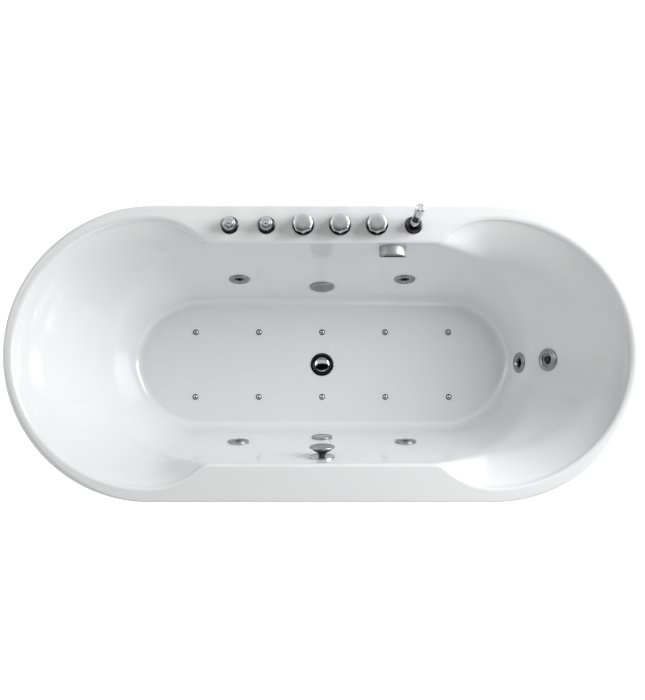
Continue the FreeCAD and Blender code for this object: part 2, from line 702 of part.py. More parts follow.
# ---------------------------------------------------------------------------------------------
# Waterfall spout
# ---------------------------------------------------------------------------------------------
def spout():
    """A broad D-shaped block, flat below, with a wide slot in its mouth and a pipe behind."""
    half = S.spout_width / 2
    base_y, arch_y = -S.spout_height / 2, S.spout_height / 2
    side_y = arch_y - S.spout_arch_rise
    outline = Part.Wire([
        Part.LineSegment(vec(-half, base_y, 0), vec(half, base_y, 0)).toShape(),
        Part.LineSegment(vec(half, base_y, 0), vec(half, side_y, 0)).toShape(),
        Part.Arc(vec(half, side_y, 0), vec(0, arch_y, 0), vec(-half, side_y, 0)).toShape(),
        Part.LineSegment(vec(-half, side_y, 0), vec(-half, base_y, 0)).toShape(),
    ])
    block_shape = Part.Face(outline).extrude(vec(0, 0, S.spout_reach))
    edges = [e for e in block_shape.Edges if e.BoundBox.ZMin > float(S.spout_reach) - 0.01]
    block_shape = block_shape.makeFillet(float(S.spout_round), edges)
    slot = Part.makeBox(float(S.spout_width - 2 * S.spout_side_wall), float(S.spout_slot_height),
                        float(S.spout_reach), vec(S.spout_side_wall - half, base_y + S.spout_slot_rise,
                                                  S.spout_slot_floor))
    pipe = disc(S.spout_pipe_radius, DRILL_DEPTH / 2, 0, 0, -DRILL_DEPTH / 2)
    return block_shape.cut(slot).fuse(pipe)


shaped("waterfall_spout", spout(), SPOUT)


# ---------------------------------------------------------------------------------------------
# Water jets, suction, light
# ---------------------------------------------------------------------------------------------
BALL_DEPTH = S.jet_ball_radius * 0.55
BALL_WELL = S.jet_ball_radius + S.ball_gap


def jet_barrel(name, well, barrel, bulb, length):
    """The hollow body behind the wall: barrel through the shell, bulb and rear port."""
    shoulder = S.shell_wall + S.jet_nut_thick
    well_floor = BALL_DEPTH + BALL_WELL
    port = S.pipe_radius - S.pipe_wall
    return turned(name, [
        (port, -length), (bulb, -length), (bulb, -shoulder), (barrel, -shoulder), (barrel, 0),
        (well, 0), (well, -well_floor), (port, -well_floor),
    ])


def face_ring(name, radius, mouth, thick, edge):
    """The bright ring against the wall, open in the middle."""
    return turned(name, [(mouth, 0), (radius, 0), (radius, thick), (mouth, thick)],
                  rounds=[(radius, thick, edge)])


def nozzle(pivot):
    """A ball whose own axis is turned onto its pivot, with a bore, cut flat at mouth and tail."""
    flat = S.jet_ball_radius * 0.72
    ball = Part.makeSphere(float(S.jet_ball_radius))
    ball.Placement = App.Placement(vec(0, 0, 0), pivot)
    keep_box = Part.makeBox(100, 100, float(flat * 2), vec(-50, -50, -flat))
    mouth = Part.makeCone(float(S.jet_bore_radius), float(S.jet_bore_radius) + 3, 5, vec(0, 0, flat - 5))
    return ball.common(keep_box).cut(disc(S.jet_bore_radius, 60, 0, 0, -30)).cut(mouth)


side_barrel = jet_barrel("side_barrel", BALL_WELL, BARREL_RADIUS, S.jet_body_radius, S.jet_body_length)
jet_nut = nut("jet_nut", S.jet_nut_radius, BARREL_RADIUS + CLEAR, S.jet_nut_thick)
jet_face = face_ring("jet_face", S.jet_face_radius, S.jet_mouth_radius, S.jet_face_thick, 3)
doc.recompute()
BEHIND = App.Placement(vec(0, 0, -S.shell_wall - S.jet_nut_thick), App.Rotation())
BALL_JETS = SIDE_JETS + [LOW_JET]
BALL_SEAT = App.Placement(vec(0, 0, -BALL_DEPTH), App.Rotation())
JET_NAMES = ("back_head", "back_foot", "front_head", "front_foot", "foot_end")
ALONG_X = App.Rotation(vec(1, 1, 1), 120)
ALONG_Y = App.Rotation(FOOT, 90)
for jet_name, place in zip(JET_NAMES, BALL_JETS):
    pivot = ALONG_Y if place is LOW_JET else ALONG_X
    shaped(jet_name + "_nozzle", nozzle(pivot), place.multiply(BALL_SEAT))

# the larger jet at the foot end has a turning insert with three slanted ports
rotor_well = S.rotor_radius + S.ball_gap
rotor_barrel = jet_barrel("rotor_barrel", rotor_well, ROTOR_BARREL_RADIUS,
                          ROTOR_BARREL_RADIUS + 3, S.jet_body_length)
rotor_face = face_ring("rotor_face", S.rotor_face_radius, rotor_well, S.jet_face_thick + 3, 3)
rotor_nut = nut("rotor_nut", S.jet_nut_radius + 4, ROTOR_BARREL_RADIUS + CLEAR, S.jet_nut_thick)
doc.recompute()
shaped("jet_bodies", Part.makeCompound(
    copies(side_barrel.Shape, BALL_JETS).Solids + copies(rotor_barrel.Shape, [HIGH_JET]).Solids))
shaped("jet_rings", Part.makeCompound(
    copies(jet_face.Shape, BALL_JETS).Solids + copies(rotor_face.Shape, [HIGH_JET]).Solids))


def rotor():
    """A stepped round insert with a centre hub and three slanted ports."""
    depth = BALL_DEPTH + BALL_WELL - CLEAR
    body = disc(S.rotor_radius, depth + S.jet_face_thick, 0, 0, -depth)
    body = rounded_top(body, 2).cut(disc(S.rotor_radius - 5, 4, 0, 0, S.jet_face_thick - 3))
    body = body.fuse(disc(5, 5, 0, 0, S.jet_face_thick - 4))
    ports = []
    for i in range(3):
        port = disc(S.rotor_port_radius, 80, 0, 0, -40)
        turn = App.Rotation(UP, 120 * i)
        slant = App.Rotation(FOOT, float(S.rotor_port_slant))
        port.Placement = App.Placement(turn.multVec(vec(S.rotor_port_reach, 0, 0)), turn.multiply(slant))
        ports.append(port)
    return body.cut(Part.makeCompound(ports))


shaped("turning_jet_rotor", rotor(), HIGH_JET)

# suction cover and light, each on a barrel of the jets' thread
cover = turned("cover", [
    (0, 0), (S.suction_radius, 0), (S.suction_radius, S.suction_thick * 0.4),
    (S.suction_radius * 0.8, S.suction_thick), (0, S.suction_thick),
])
plain_barrel = turned("plain_barrel", [
    (0, -S.jet_body_length), (S.jet_body_radius, -S.jet_body_length),
    (S.jet_body_radius, -S.shell_wall - S.jet_nut_thick),
    (BARREL_RADIUS, -S.shell_wall - S.jet_nut_thick), (BARREL_RADIUS, 0), (0, 0),
])
lens = turned("lens", [(0, 0), (S.light_radius, 0), (S.light_radius, S.light_thick),
                       (0, S.light_thick)], rounds=[(S.light_radius, S.light_thick, 3)])
doc.recompute()


def slotted_cover(shape):
    """The suction cover with rings of round holes."""
    holes = []
    for ring, count in ((0.3, 6), (0.55, 12), (0.72, 18)):
        for i in range(count):
            angle = 2 * PI * i / count
            reach = float(S.suction_radius) * ring
            holes.append(disc(1.6, S.suction_thick * 0.8, reach * math.cos(angle),
                              reach * math.sin(angle), S.suction_thick * 0.4))
    return shape.cut(Part.makeCompound(holes))


shaped("suction_cover", copies(slotted_cover(cover.Shape), [SUCTION]).Solids[0])
shaped("light_lens", copies(lens.Shape, [LIGHT]).Solids[0])
shaped("suction_and_light_bodies", copies(plain_barrel.Shape, [SUCTION, LIGHT]))
NUTS += copies(jet_nut.Shape, [p.multiply(BEHIND) for p in BALL_JETS + [SUCTION, LIGHT]]).Solids
NUTS += copies(rotor_nut.Shape, [HIGH_JET.multiply(BEHIND)]).Solids


# ---------------------------------------------------------------------------------------------
# Air injectors, drain and overflow
# ---------------------------------------------------------------------------------------------
injector = turned("injector", [
    (0, -S.injector_stem_length), (S.injector_stem_radius, -S.injector_stem_length),
    (S.injector_stem_radius, 0), (S.injector_radius, 0), (S.injector_radius, S.injector_rise * 0.4),
    (S.injector_radius * 0.55, S.injector_rise), (0, S.injector_rise),
])
injector_nut = nut("injector_nut", S.injector_nut_radius, S.injector_stem_radius + CLEAR, 8)
doc.recompute()
UNDER_FLOOR = App.Placement(vec(0, 0, -S.shell_wall - 8), App.Rotation())
shaped("air_injectors", copies(injector.Shape, INJECTORS))
NUTS += copies(injector_nut.Shape, [p.multiply(UNDER_FLOOR) for p in INJECTORS]).Solids
shaped("fitting_nuts", Part.makeCompound(NUTS))


def at_drain(obj, label):
    """Keeps a piece on the drain's upright axis, its own zero at the floor of the basin."""
    bind_place(obj, spot(0, 0, FLOOR_Z), z=FLOOR_Z)
    return keep(obj, label)


SEAT_RADIUS = S.drain_bore_radius - 7
CUP_RADIUS = S.drain_body_radius + 7
SEAL_TOP = -S.shell_wall
at_drain(turned("flange", [
    (SEAT_RADIUS, -S.drain_body_length * 0.75), (S.drain_body_radius, -S.drain_body_length * 0.75),
    (S.drain_body_radius, 0), (S.drain_flange_radius, 0),
    (S.drain_flange_radius, S.drain_flange_thick), (S.drain_bore_radius, S.drain_flange_thick),
    (S.drain_bore_radius, -S.drain_seat_depth), (SEAT_RADIUS, -S.drain_seat_depth),
], rounds=[(S.drain_flange_radius, S.drain_flange_thick, 2)]), "drain_flange")
at_drain(turned("floor_seal", [
    (S.drain_body_radius + CLEAR, SEAL_TOP - 3), (CUP_RADIUS, SEAL_TOP - 3), (CUP_RADIUS, SEAL_TOP),
    (S.drain_body_radius + CLEAR, SEAL_TOP),
]), "drain_seal")
STEM_BORE = S.plug_stem_radius + S.running_gap
CUP_FLOOR = -S.drain_cup_length + 6
at_drain(turned("cup", [
    (STEM_BORE, -S.drain_cup_length), (CUP_RADIUS, -S.drain_cup_length), (CUP_RADIUS, SEAL_TOP - 3),
    (S.drain_body_radius + CLEAR, SEAL_TOP - 3), (S.drain_body_radius + CLEAR, CUP_FLOOR),
    (STEM_BORE, CUP_FLOOR),
]), "drain_body")
at_drain(turned("plug", [
    (0, -S.drain_cup_length), (S.plug_stem_radius, -S.drain_cup_length), (S.plug_stem_radius, -3),
    (S.plug_radius, -3), (S.plug_radius, 1), (S.plug_radius * 0.65, 5), (0, 6.5),
]), "drain_plug")
at_drain(turned("plug_ring", [
    (S.plug_stem_radius + CLEAR, CLEAR - S.drain_seat_depth), (S.plug_radius, CLEAR - S.drain_seat_depth),
    (S.plug_radius, -3), (S.plug_stem_radius + CLEAR, -3),
]), "plug_seal")

# overflow: its own +Z points into the basin from the front wall
BODY_DEPTH = S.shell_wall + S.overflow_body_length
plate = turned("plate", [
    (S.overflow_stem_radius + CLEAR, 0), (S.overflow_plate_radius, 0), (S.overflow_plate_radius, 4),
    (S.overflow_stem_radius + CLEAR, 4),
], rounds=[(S.overflow_plate_radius, 4, 2)])
overflow_cup = turned("overflow_cup", [
    (S.overflow_shaft_radius + S.running_gap, -BODY_DEPTH), (S.overflow_body_radius, -BODY_DEPTH),
    (S.overflow_body_radius, -S.shell_wall), (S.overflow_body_radius - 6, -S.shell_wall),
    (S.overflow_body_radius - 6, 8 - BODY_DEPTH),
    (S.overflow_shaft_radius + S.running_gap, 8 - BODY_DEPTH),
])
KNOB_BACK = S.overflow_standoff
overflow_stem = turned("overflow_stem_turn", [
    (0, -BODY_DEPTH), (S.overflow_shaft_radius, -BODY_DEPTH), (S.overflow_shaft_radius, -S.shell_wall),
    (S.overflow_stem_radius, -S.shell_wall), (S.overflow_stem_radius, KNOB_BACK), (0, KNOB_BACK),
])
overflow_dial = turned("overflow_dial", [
    (0, KNOB_BACK), (S.overflow_knob_radius, KNOB_BACK),
    (S.overflow_knob_radius, KNOB_BACK + S.overflow_knob_thick),
    (0, KNOB_BACK + S.overflow_knob_thick),
], rounds=[(S.overflow_knob_radius, KNOB_BACK + S.overflow_knob_thick, 3)])
for obj, label in ((plate, "overflow_plate"), (overflow_cup, "overflow_body"),
                   (overflow_stem, "overflow_stem"), (overflow_dial, "overflow_knob")):
    obj.Placement = OVERFLOW
    keep(obj, label)

# waste pipes: the overflow pipe runs down beside the wall into a tee under the floor
WASTE_Z = FLOOR_Z - S.drain_cup_length + 24
WALL_DOWN = vec(0, math.sin(SIDE_LEAN), -math.cos(SIDE_LEAN))
OVERFLOW_BACK = OVERFLOW.multVec(vec(0, 0, -S.shell_wall - S.overflow_body_length / 2))
pipe_top = OVERFLOW_BACK + WALL_DOWN * float(S.overflow_body_radius + CLEAR)
TEE_RADIUS = S.waste_pipe_radius + 4
fall = (pipe_top.z - float(WASTE_Z + TEE_RADIUS - 6)) / math.cos(SIDE_LEAN)
light_drop = TROUGH_DEPTH - S.fitting_rise
light_fall = float(light_drop - S.overflow_drop - S.overflow_body_radius) / math.cos(SIDE_LEAN)
step = vec(S.jet_nut_radius + S.overflow_pipe_radius + 7, 0, 0)
overflow_route = [
    pipe_top, pipe_top + WALL_DOWN * (light_fall - 185), pipe_top + WALL_DOWN * (light_fall - 105) + step,
    pipe_top + WALL_DOWN * (light_fall + 45) + step, pipe_top + WALL_DOWN * (light_fall + 112),
    pipe_top + WALL_DOWN * fall,
]
shaped("overflow_pipe", tube(overflow_route, S.overflow_pipe_radius, 30,
                             S.overflow_pipe_radius - S.pipe_wall))
tee_y = overflow_route[-1].y
TEE_HALF = 24
FRONT = vec(0, -1, 0)
waste_start = -CUP_RADIUS - CLEAR
tee = disc(TEE_RADIUS, 2 * TEE_HALF, 0, tee_y + TEE_HALF, WASTE_Z, FRONT)
tee = tee.cut(disc(S.waste_pipe_radius - S.pipe_wall, 2 * TEE_HALF, 0, tee_y + TEE_HALF, WASTE_Z, FRONT))
socket_start = pipe_top + WALL_DOWN * (fall - 20)
socket = disc(S.overflow_pipe_radius + 0.1, 24, socket_start.x, socket_start.y, socket_start.z, WALL_DOWN)
shaped("waste_tee", tee.cut(socket))
waste_pipe = tube([vec(0, waste_start, WASTE_Z), vec(0, tee_y + TEE_HALF, WASTE_Z)],
                  S.waste_pipe_radius, 30, S.waste_pipe_radius - S.pipe_wall)
OUTLET_X = 85
OUTLET_Y = tee_y - TEE_HALF - 29
outlet_path = [vec(0, tee_y - TEE_HALF, WASTE_Z), vec(0, OUTLET_Y, WASTE_Z),
               vec(OUTLET_X, OUTLET_Y, WASTE_Z), vec(OUTLET_X, OUTLET_Y, 5)]
outlet = tube(outlet_path, S.waste_pipe_radius, 28, S.waste_pipe_radius - S.pipe_wall)
shaped("waste_pipes", Part.makeCompound([waste_pipe, outlet]))
cable_start = OVERFLOW_BACK + WALL_DOWN * 24 - vec(18, 0, 0)
cable_x = CUP_RADIUS * -0.83
shaped("plug_cable", tube([
    cable_start, vec(cable_x, cable_start.y + 22, cable_start.z - 90),
    vec(cable_x, tee_y, WASTE_Z + 36), vec(cable_x, tee_y + 36, WASTE_Z - 12),
    vec(cable_x, -CUP_RADIUS * 0.56 - 4.5, WASTE_Z - 12),
], 3, 24))


# ---------------------------------------------------------------------------------------------
# Frame, boards and feet
# ---------------------------------------------------------------------------------------------
BOARD_TOP = FLOOR_Z - S.shell_wall
RAIL_TOP = BOARD_TOP - S.baseboard_thick
CROSS_TOP = RAIL_TOP - S.rail_size
CROSS_LOW = CROSS_TOP - S.rail_size
CROSS_X = [S.cross_rail_x * k for k in (-3, -1, 1, 3)]


def board():
    """The board bonded under the floor, with holes for the drain and the injectors."""
    plain = block("baseboard_blank", S.baseboard_length, S.baseboard_width, S.baseboard_thick, 0, 0,
                  RAIL_TOP)
    doc.recompute()
    holes = [disc(CUP_RADIUS + 1, S.baseboard_thick + 20, 0, 0, RAIL_TOP - 10)]
    for place in INJECTORS:
        holes.append(disc(S.injector_nut_radius + 1, S.baseboard_thick + 20, place.Base.x,
                          place.Base.y, RAIL_TOP - 10))
    return plain.Shape.cut(Part.makeCompound(holes))


def rail(length, x, y, z, across):
    """A square tube along X, or along Y where it runs across."""
    size = float(S.rail_size)
    wall = float(S.rail_wall)
    length = float(length)
    long_way = (length, size) if not across else (size, length)
    inner = (length, size - 2 * wall) if not across else (size - 2 * wall, length)
    outer_box = Part.makeBox(long_way[0], long_way[1], size,
                             vec(x - long_way[0] / 2, y - long_way[1] / 2, z))
    inner_box = Part.makeBox(inner[0], inner[1], size - 2 * wall,
                             vec(x - inner[0] / 2, y - inner[1] / 2, z + wall))
    return outer_box.cut(inner_box)


shaped("baseboard", board())
rails = [rail(S.frame_length, 0, S.rail_spacing / 2 * side, CROSS_TOP, False) for side in (-1, 1)]
rails += [rail(S.tub_width - 2 * S.cross_rail_inset, x, 0, CROSS_LOW, True) for x in CROSS_X]
shaped("support_frame", rails[0].multiFuse(rails[1:]))
FEET = [(x, (END_RADIUS - S.foot_inset) * side) for x in CROSS_X for side in (-1, 1)]
foot_pad = turned("foot_pad", [(0, 0), (S.foot_pad_radius, 0), (S.foot_pad_radius, S.foot_pad_thick / 2),
                               (S.foot_pad_radius * 0.6, S.foot_pad_thick), (0, S.foot_pad_thick)])
foot_stud = doc.addObject("Part::Cylinder", "foot_stud")
foot_stud.setExpression("Radius", S.foot_stud_radius.formula)
foot_stud.setExpression("Height", (CROSS_LOW - S.foot_pad_thick).formula)
foot_nut = nut("foot_nut", S.foot_stud_radius + 5, S.foot_stud_radius + CLEAR, 10)
doc.recompute()
shaped("foot_pads", copies(foot_pad.Shape, [spot(x, y, 0) for x, y in FEET]))
shaped("foot_studs", Part.makeCompound(
    copies(foot_stud.Shape, [spot(x, y, S.foot_pad_thick) for x, y in FEET]).Solids
    + copies(foot_nut.Shape, [spot(x, y, CROSS_LOW - 10) for x, y in FEET]).Solids))
FLANGE_TOP = S.skirt_floor_gap + S.skirt_wall
END_BOARD_TOP = FLANGE_TOP + S.end_board_thick
slab = skirt_solid(FLANGE_TOP, END_BOARD_TOP, S.skirt_wall + 1)
END_BOARD_X = HALF_LENGTH - S.end_board_inset
middle = Part.makeBox(2 * float(END_BOARD_X), float(S.tub_width), 100,
                      vec(-END_BOARD_X, -END_RADIUS, 0))
shaped("end_boards", slab.cut(middle))


# ---------------------------------------------------------------------------------------------
# Pump at the head end, its axis along Y
# ---------------------------------------------------------------------------------------------
PUMP = spot(PUMP_X, 0, S.pump_axis_z, BACK)
SHAFT_BORE = S.shaft_radius + S.running_gap
PORT_BORE = S.pipe_radius - S.pipe_wall
motor = turned("motor", [
    (0, -S.motor_length), (S.motor_radius * 0.8, -S.motor_length), (S.motor_radius, 12 - S.motor_length),
    (S.motor_radius, 0), (SHAFT_BORE, 0), (SHAFT_BORE, -S.motor_length / 2 - CLEAR),
    (0, -S.motor_length / 2 - CLEAR),
])
volute = turned("volute", [
    (SHAFT_BORE, 0), (S.volute_radius, 0), (S.volute_radius, S.volute_length),
    (PORT_BORE, S.volute_length), (PORT_BORE, S.volute_length - 8),
    (S.impeller_radius + 5, S.volute_length - 8), (S.impeller_radius + 5, 8), (SHAFT_BORE, 8),
])
for obj, label in ((motor, "pump_motor"), (volute, "pump_housing")):
    obj.Placement = PUMP
    keep(obj, label)


def bladed_wheel(radius, low, high, plate_thick, shaft, shaft_low, blades):
    """A back plate with upright curved blades on a shaft."""
    wheel = disc(radius, plate_thick, 0, 0, low)
    wheel = wheel.fuse(disc(shaft, high - shaft_low, 0, 0, shaft_low))
    blade_height = float(high - low) - float(plate_thick)
    for i in range(blades):
        blade = Part.makeBox(float(radius) - float(shaft) - 4, 3, blade_height,
                             vec(float(shaft) + 3, -1.5, float(low + plate_thick)))
        blade.rotate(vec(float(shaft) + 3, 0, 0), UP, 24)
        blade.rotate(vec(0, 0, 0), UP, 360 * i / blades)
        wheel = wheel.fuse(blade)
    return wheel.common(disc(radius, 400, 0, 0, -200))


shaped("pump_impeller", bladed_wheel(S.impeller_radius, S.volute_length * 0.25, S.volute_length * 0.7, 4,
                                     S.shaft_radius, -S.motor_length / 2, 6), PUMP)
saddle = Part.makeBox(float(S.motor_radius * 1.6), float(S.motor_length - 50), 34,
                      vec(PUMP_X - S.motor_radius * 0.8, 20 - S.motor_length, END_BOARD_TOP))
shaped("pump_saddle", saddle.cut(disc(S.motor_radius, S.motor_length, PUMP_X, -S.motor_length,
                                      S.pump_axis_z, BACK)))

# blower at the foot end, its axis upright
BLOWER = spot(BLOWER_X, 0, END_BOARD_TOP)
FAN_BORE = S.fan_shaft_radius + S.running_gap
casing = turned("casing", [
    (18, 0), (S.blower_radius, 0), (S.blower_radius, S.blower_height), (FAN_BORE, S.blower_height),
    (FAN_BORE, S.blower_height - 5), (S.blower_radius - 5, S.blower_height - 5),
    (S.blower_radius - 5, 5), (18, 5),
])
blower_motor = turned("blower_motor_turn", [
    (FAN_BORE, S.blower_height), (S.blower_motor_radius, S.blower_height),
    (S.blower_motor_radius, S.blower_height + 32), (S.blower_motor_radius * 0.7, S.blower_height + 40),
    (0, S.blower_height + 40), (0, S.blower_height + 30), (FAN_BORE, S.blower_height + 30),
])
for obj, label in ((casing, "blower_housing"), (blower_motor, "blower_motor")):
    bind_place(obj, BLOWER, BLOWER_X, None, END_BOARD_TOP)
    keep(obj, label)
fan = bladed_wheel(S.blower_fan_radius, as_size(10), S.blower_height - 10, 3, S.fan_shaft_radius,
                   as_size(10), 10)
fan = fan.fuse(disc(S.fan_shaft_radius, S.blower_height + 19, 0, 0, 10))
shaped("blower_fan", fan, BLOWER)
control = block("control_blank", S.control_length, S.control_width, S.control_height, CONTROL_X,
                CONTROL_Y, END_BOARD_TOP)
doc.recompute()
box_edges = [e for e in control.Shape.Edges if abs(e.tangentAt(0).z) > 0.99]
shaped("control_box", control.Shape.makeFillet(6, box_edges))


# ---------------------------------------------------------------------------------------------
# Water and air pipes
# ---------------------------------------------------------------------------------------------
def rear_of(place, extra=0.0):
    """The point behind a wall fitting where its pipe meets it."""
    return place.multVec(vec(0, 0, -S.jet_body_length - extra))


LINE = S.pipe_radius + CLEAR
BORE = S.pipe_radius - S.pipe_wall
back_line = rear_of(SIDE_JETS[0], LINE)
PIPE_END = S.side_jet_x + 20
shaped("side_pressure_pipes", Part.makeCompound([
    tube([vec(-PIPE_END, back_line.y * side, back_line.z), vec(PIPE_END, back_line.y * side, back_line.z)],
         S.pipe_radius, 30, BORE) for side in (1, -1)]))
foot_line = rear_of(HIGH_JET, LINE)
SHOULDER_X = HALF_LENGTH - 330
TURN_Y = END_RADIUS - 245
BEND = 90


def end_bend(end, line_x, line_z):
    """A pipe round one end of the basin from the back pressure pipe to the front one."""
    start_x = PIPE_END * end
    half = [vec(start_x, back_line.y, back_line.z), vec(SHOULDER_X * end, back_line.y, back_line.z),
            vec(line_x * end, TURN_Y, line_z)]
    other = [vec(p.x, -p.y, p.z) for p in reversed(half)]
    return tube(half + other, S.pipe_radius, BEND, BORE)


shaped("end_pressure_pipes", Part.makeCompound([
    end_bend(1, foot_line.x, foot_line.z), end_bend(-1, HEAD_LINE_X, back_line.z)]))
low_rear = rear_of(LOW_JET, CLEAR)
low_turn = rear_of(LOW_JET, (foot_line.x - low_rear.x) / math.cos(END_LEAN))
feed = tube([low_rear, low_turn, vec(low_turn.x, 0, foot_line.z - float(LINE))], S.pipe_radius, 28, BORE)
riser_y = S.volute_length / 2
riser_top = back_line.z - float(LINE)
riser = tube([
    vec(PUMP_X, riser_y, S.pump_axis_z + S.volute_radius + CLEAR), vec(PUMP_X, riser_y, 225),
    vec(-HEAD_LINE_X, riser_y, riser_top - 38), vec(-HEAD_LINE_X, riser_y, riser_top),
], S.pipe_radius, 40, BORE)
shaped("jet_feed_pipes", Part.makeCompound([feed, riser]))
suction_out = rear_of(SUCTION, 22)
shaped("suction_pipe", tube([
    rear_of(SUCTION, CLEAR), suction_out, vec(-110, suction_out.y, suction_out.z - 1),
    vec(430 - HALF_LENGTH, suction_out.y, suction_out.z),
    vec(280 - HALF_LENGTH, END_RADIUS - 170, 190), vec(PUMP_X, 130, S.pump_axis_z),
    vec(PUMP_X, S.volute_length + CLEAR, S.pump_axis_z),
], S.pipe_radius, 20, BORE))

# hot and cold supply hoses, mixing pipes, spout hose and shower hose
VALVE_FOOT = S.tub_height - S.valve_length
SUPPLY_Y = END_RADIUS - S.supply_inset
supply = []
for number in (2, 3):
    x = deck_x(number)
    supply.append(tube([
        vec(x, DECK_ROW_Y, VALVE_FOOT), vec(x, DECK_ROW_Y, VALVE_FOOT - 46),
        vec(x, DECK_ROW_Y - 16, back_line.z + 7), vec(x, DECK_ROW_Y - 29, suction_out.z - 35),
        vec(x, SUPPLY_Y, 110), vec(x, SUPPLY_Y, S.supply_end_z),
    ], S.supply_radius, 60, S.supply_radius - S.pipe_wall))
shaped("supply_hoses", Part.makeCompound(supply))
mixing = []
for number in (2, 3):
    start_x = deck_x(number) + S.valve_radius
    length = S.deck_row_pitch - 2 * S.valve_radius
    bar = disc(9, length, start_x, DECK_ROW_Y, S.tub_height - 45, FOOT)
    mixing.append(bar.cut(disc(6, length, start_x, DECK_ROW_Y, S.tub_height - 45, FOOT)))
spout_rear = SPOUT.multVec(vec(0, 0, -DRILL_DEPTH / 2 - CLEAR))
spout_turn = SPOUT.multVec(vec(0, 0, (spout_rear.y - float(DECK_ROW_Y)) / math.cos(SIDE_LEAN)
                               - DRILL_DEPTH / 2))
spout_hose = tube([
    vec(deck_x(4) + S.valve_radius, spout_turn.y, spout_turn.z), spout_turn, spout_rear,
], S.small_hose_radius, 18, S.small_hose_radius - 2)
shaped("mixing_pipes", Part.makeCompound(mixing + [spout_hose]))
hose_start = HANDSET.multVec(vec(0, 0, -S.handset_socket))
hose_turn = HANDSET.multVec(vec(0, 0, 400 - float(S.tub_height + S.holder_height)))
shaped("shower_hose", tube([
    hose_start, hose_turn, vec(deck_x(4), DECK_ROW_Y, 400), vec(deck_x(4), DECK_ROW_Y, VALVE_FOOT),
], S.hose_radius, 38, S.hose_bore_radius))

# air manifolds under the injectors, hoses from the blower, tubes from the switches
MANIFOLD_Z = FLOOR_Z - S.injector_stem_length - CLEAR - S.manifold_radius
MANIFOLD_END = S.injector_pitch * (S.injector_columns - 1) / 2 + 18
manifolds = [tube([vec(-MANIFOLD_END, S.injector_row_y * side, MANIFOLD_Z),
                   vec(MANIFOLD_END, S.injector_row_y * side, MANIFOLD_Z)],
                  S.manifold_radius, 20, S.manifold_radius - 2) for side in (1, -1)]
hoses = []
for side in (1, -1):
    row = S.injector_row_y * side
    hoses.append(tube([
        vec(MANIFOLD_END, row, MANIFOLD_Z), vec(HALF_LENGTH - 290, row, MANIFOLD_Z),
        vec(BLOWER_X - 37, 40 * side, MANIFOLD_Z),
        vec(BLOWER_X - 37, 40 * side, END_BOARD_TOP + S.blower_height + CLEAR),
    ], S.manifold_radius, 25, S.manifold_radius - 2))
shaped("air_pipes", Part.makeCompound(manifolds + hoses))
tubes = []
TUBE_Y = END_RADIUS - 125
TUBE_Z = S.tub_height - 198
for number in (0, 1):
    rise = 9 * number
    x = deck_x(number)
    tubes.append(tube([
        vec(x, DECK_ROW_Y, S.tub_height - S.switch_stem_length - CLEAR),
        vec(x, DECK_ROW_Y, S.tub_height - 100), vec(x + 70, TUBE_Y, TUBE_Z + rise),
        vec(HALF_LENGTH - 510, TUBE_Y, TUBE_Z + rise),
        vec(HALF_LENGTH - 430, TUBE_Y - 8, TUBE_Z - 82 + rise),
        vec(HALF_LENGTH - 330, TUBE_Y - 20, TUBE_Z - 182 + rise),
        vec(CONTROL_X + 14 * number, CONTROL_Y, 200 + rise),
        vec(CONTROL_X + 14 * number, CONTROL_Y, END_BOARD_TOP + S.control_height + CLEAR),
    ], S.switch_tube_radius, 16))
shaped("switch_tubes", Part.makeCompound(tubes))


# ---------------------------------------------------------------------------------------------
# Checks and files
# ---------------------------------------------------------------------------------------------
doc.recompute()
for obj in doc.Objects:
    assert "Invalid" not in obj.State and "Error" not in obj.State, obj.Label + " failed"
os.makedirs("parts", exist_ok=True)
for label, obj in NODES.items():
    shape = obj.Shape
    assert not shape.isNull() and shape.isValid(), label + " is not a sound solid"
    assert shape.Solids and shape.Volume > 0, label + " is empty"
    shape.exportStep("parts/%s.step" % label)
    print("%-26s %2d solid(s) %12.1f mm3" % (label, len(shape.Solids), shape.Volume))
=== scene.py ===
"""The look of a free-standing jetted bathtub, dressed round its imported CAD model.

Every size in the classes is in millimetres, in the tub's own frame: +X is the foot end, +Y the back,
where the taps stand, and the origin is on the floor under the middle. Meshes are made in metres.
"""
import logging
import math
from dataclasses import dataclass
from enum import Enum
from typing import Iterable, Sequence

import bmesh
import bpy
from mathutils import Matrix, Vector


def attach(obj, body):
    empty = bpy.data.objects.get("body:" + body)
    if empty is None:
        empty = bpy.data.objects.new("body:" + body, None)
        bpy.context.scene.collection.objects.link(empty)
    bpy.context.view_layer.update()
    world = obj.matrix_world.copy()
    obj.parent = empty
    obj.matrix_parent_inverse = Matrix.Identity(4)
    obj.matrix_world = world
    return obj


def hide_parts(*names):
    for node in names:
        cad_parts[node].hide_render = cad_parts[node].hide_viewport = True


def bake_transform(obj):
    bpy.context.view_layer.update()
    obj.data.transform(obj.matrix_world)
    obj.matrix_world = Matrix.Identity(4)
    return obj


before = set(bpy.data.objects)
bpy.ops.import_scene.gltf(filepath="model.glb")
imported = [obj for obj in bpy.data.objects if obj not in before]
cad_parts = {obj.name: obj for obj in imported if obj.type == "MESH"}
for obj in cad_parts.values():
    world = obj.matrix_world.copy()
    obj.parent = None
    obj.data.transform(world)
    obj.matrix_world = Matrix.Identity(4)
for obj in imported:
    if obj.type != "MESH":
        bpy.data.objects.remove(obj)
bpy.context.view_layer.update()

log = logging.getLogger("tub")
MM = 0.001
UP = Vector((0, 0, 1))
TUB = "tub"
BORE_DEPTH = 30.0
Point = tuple[float, float]


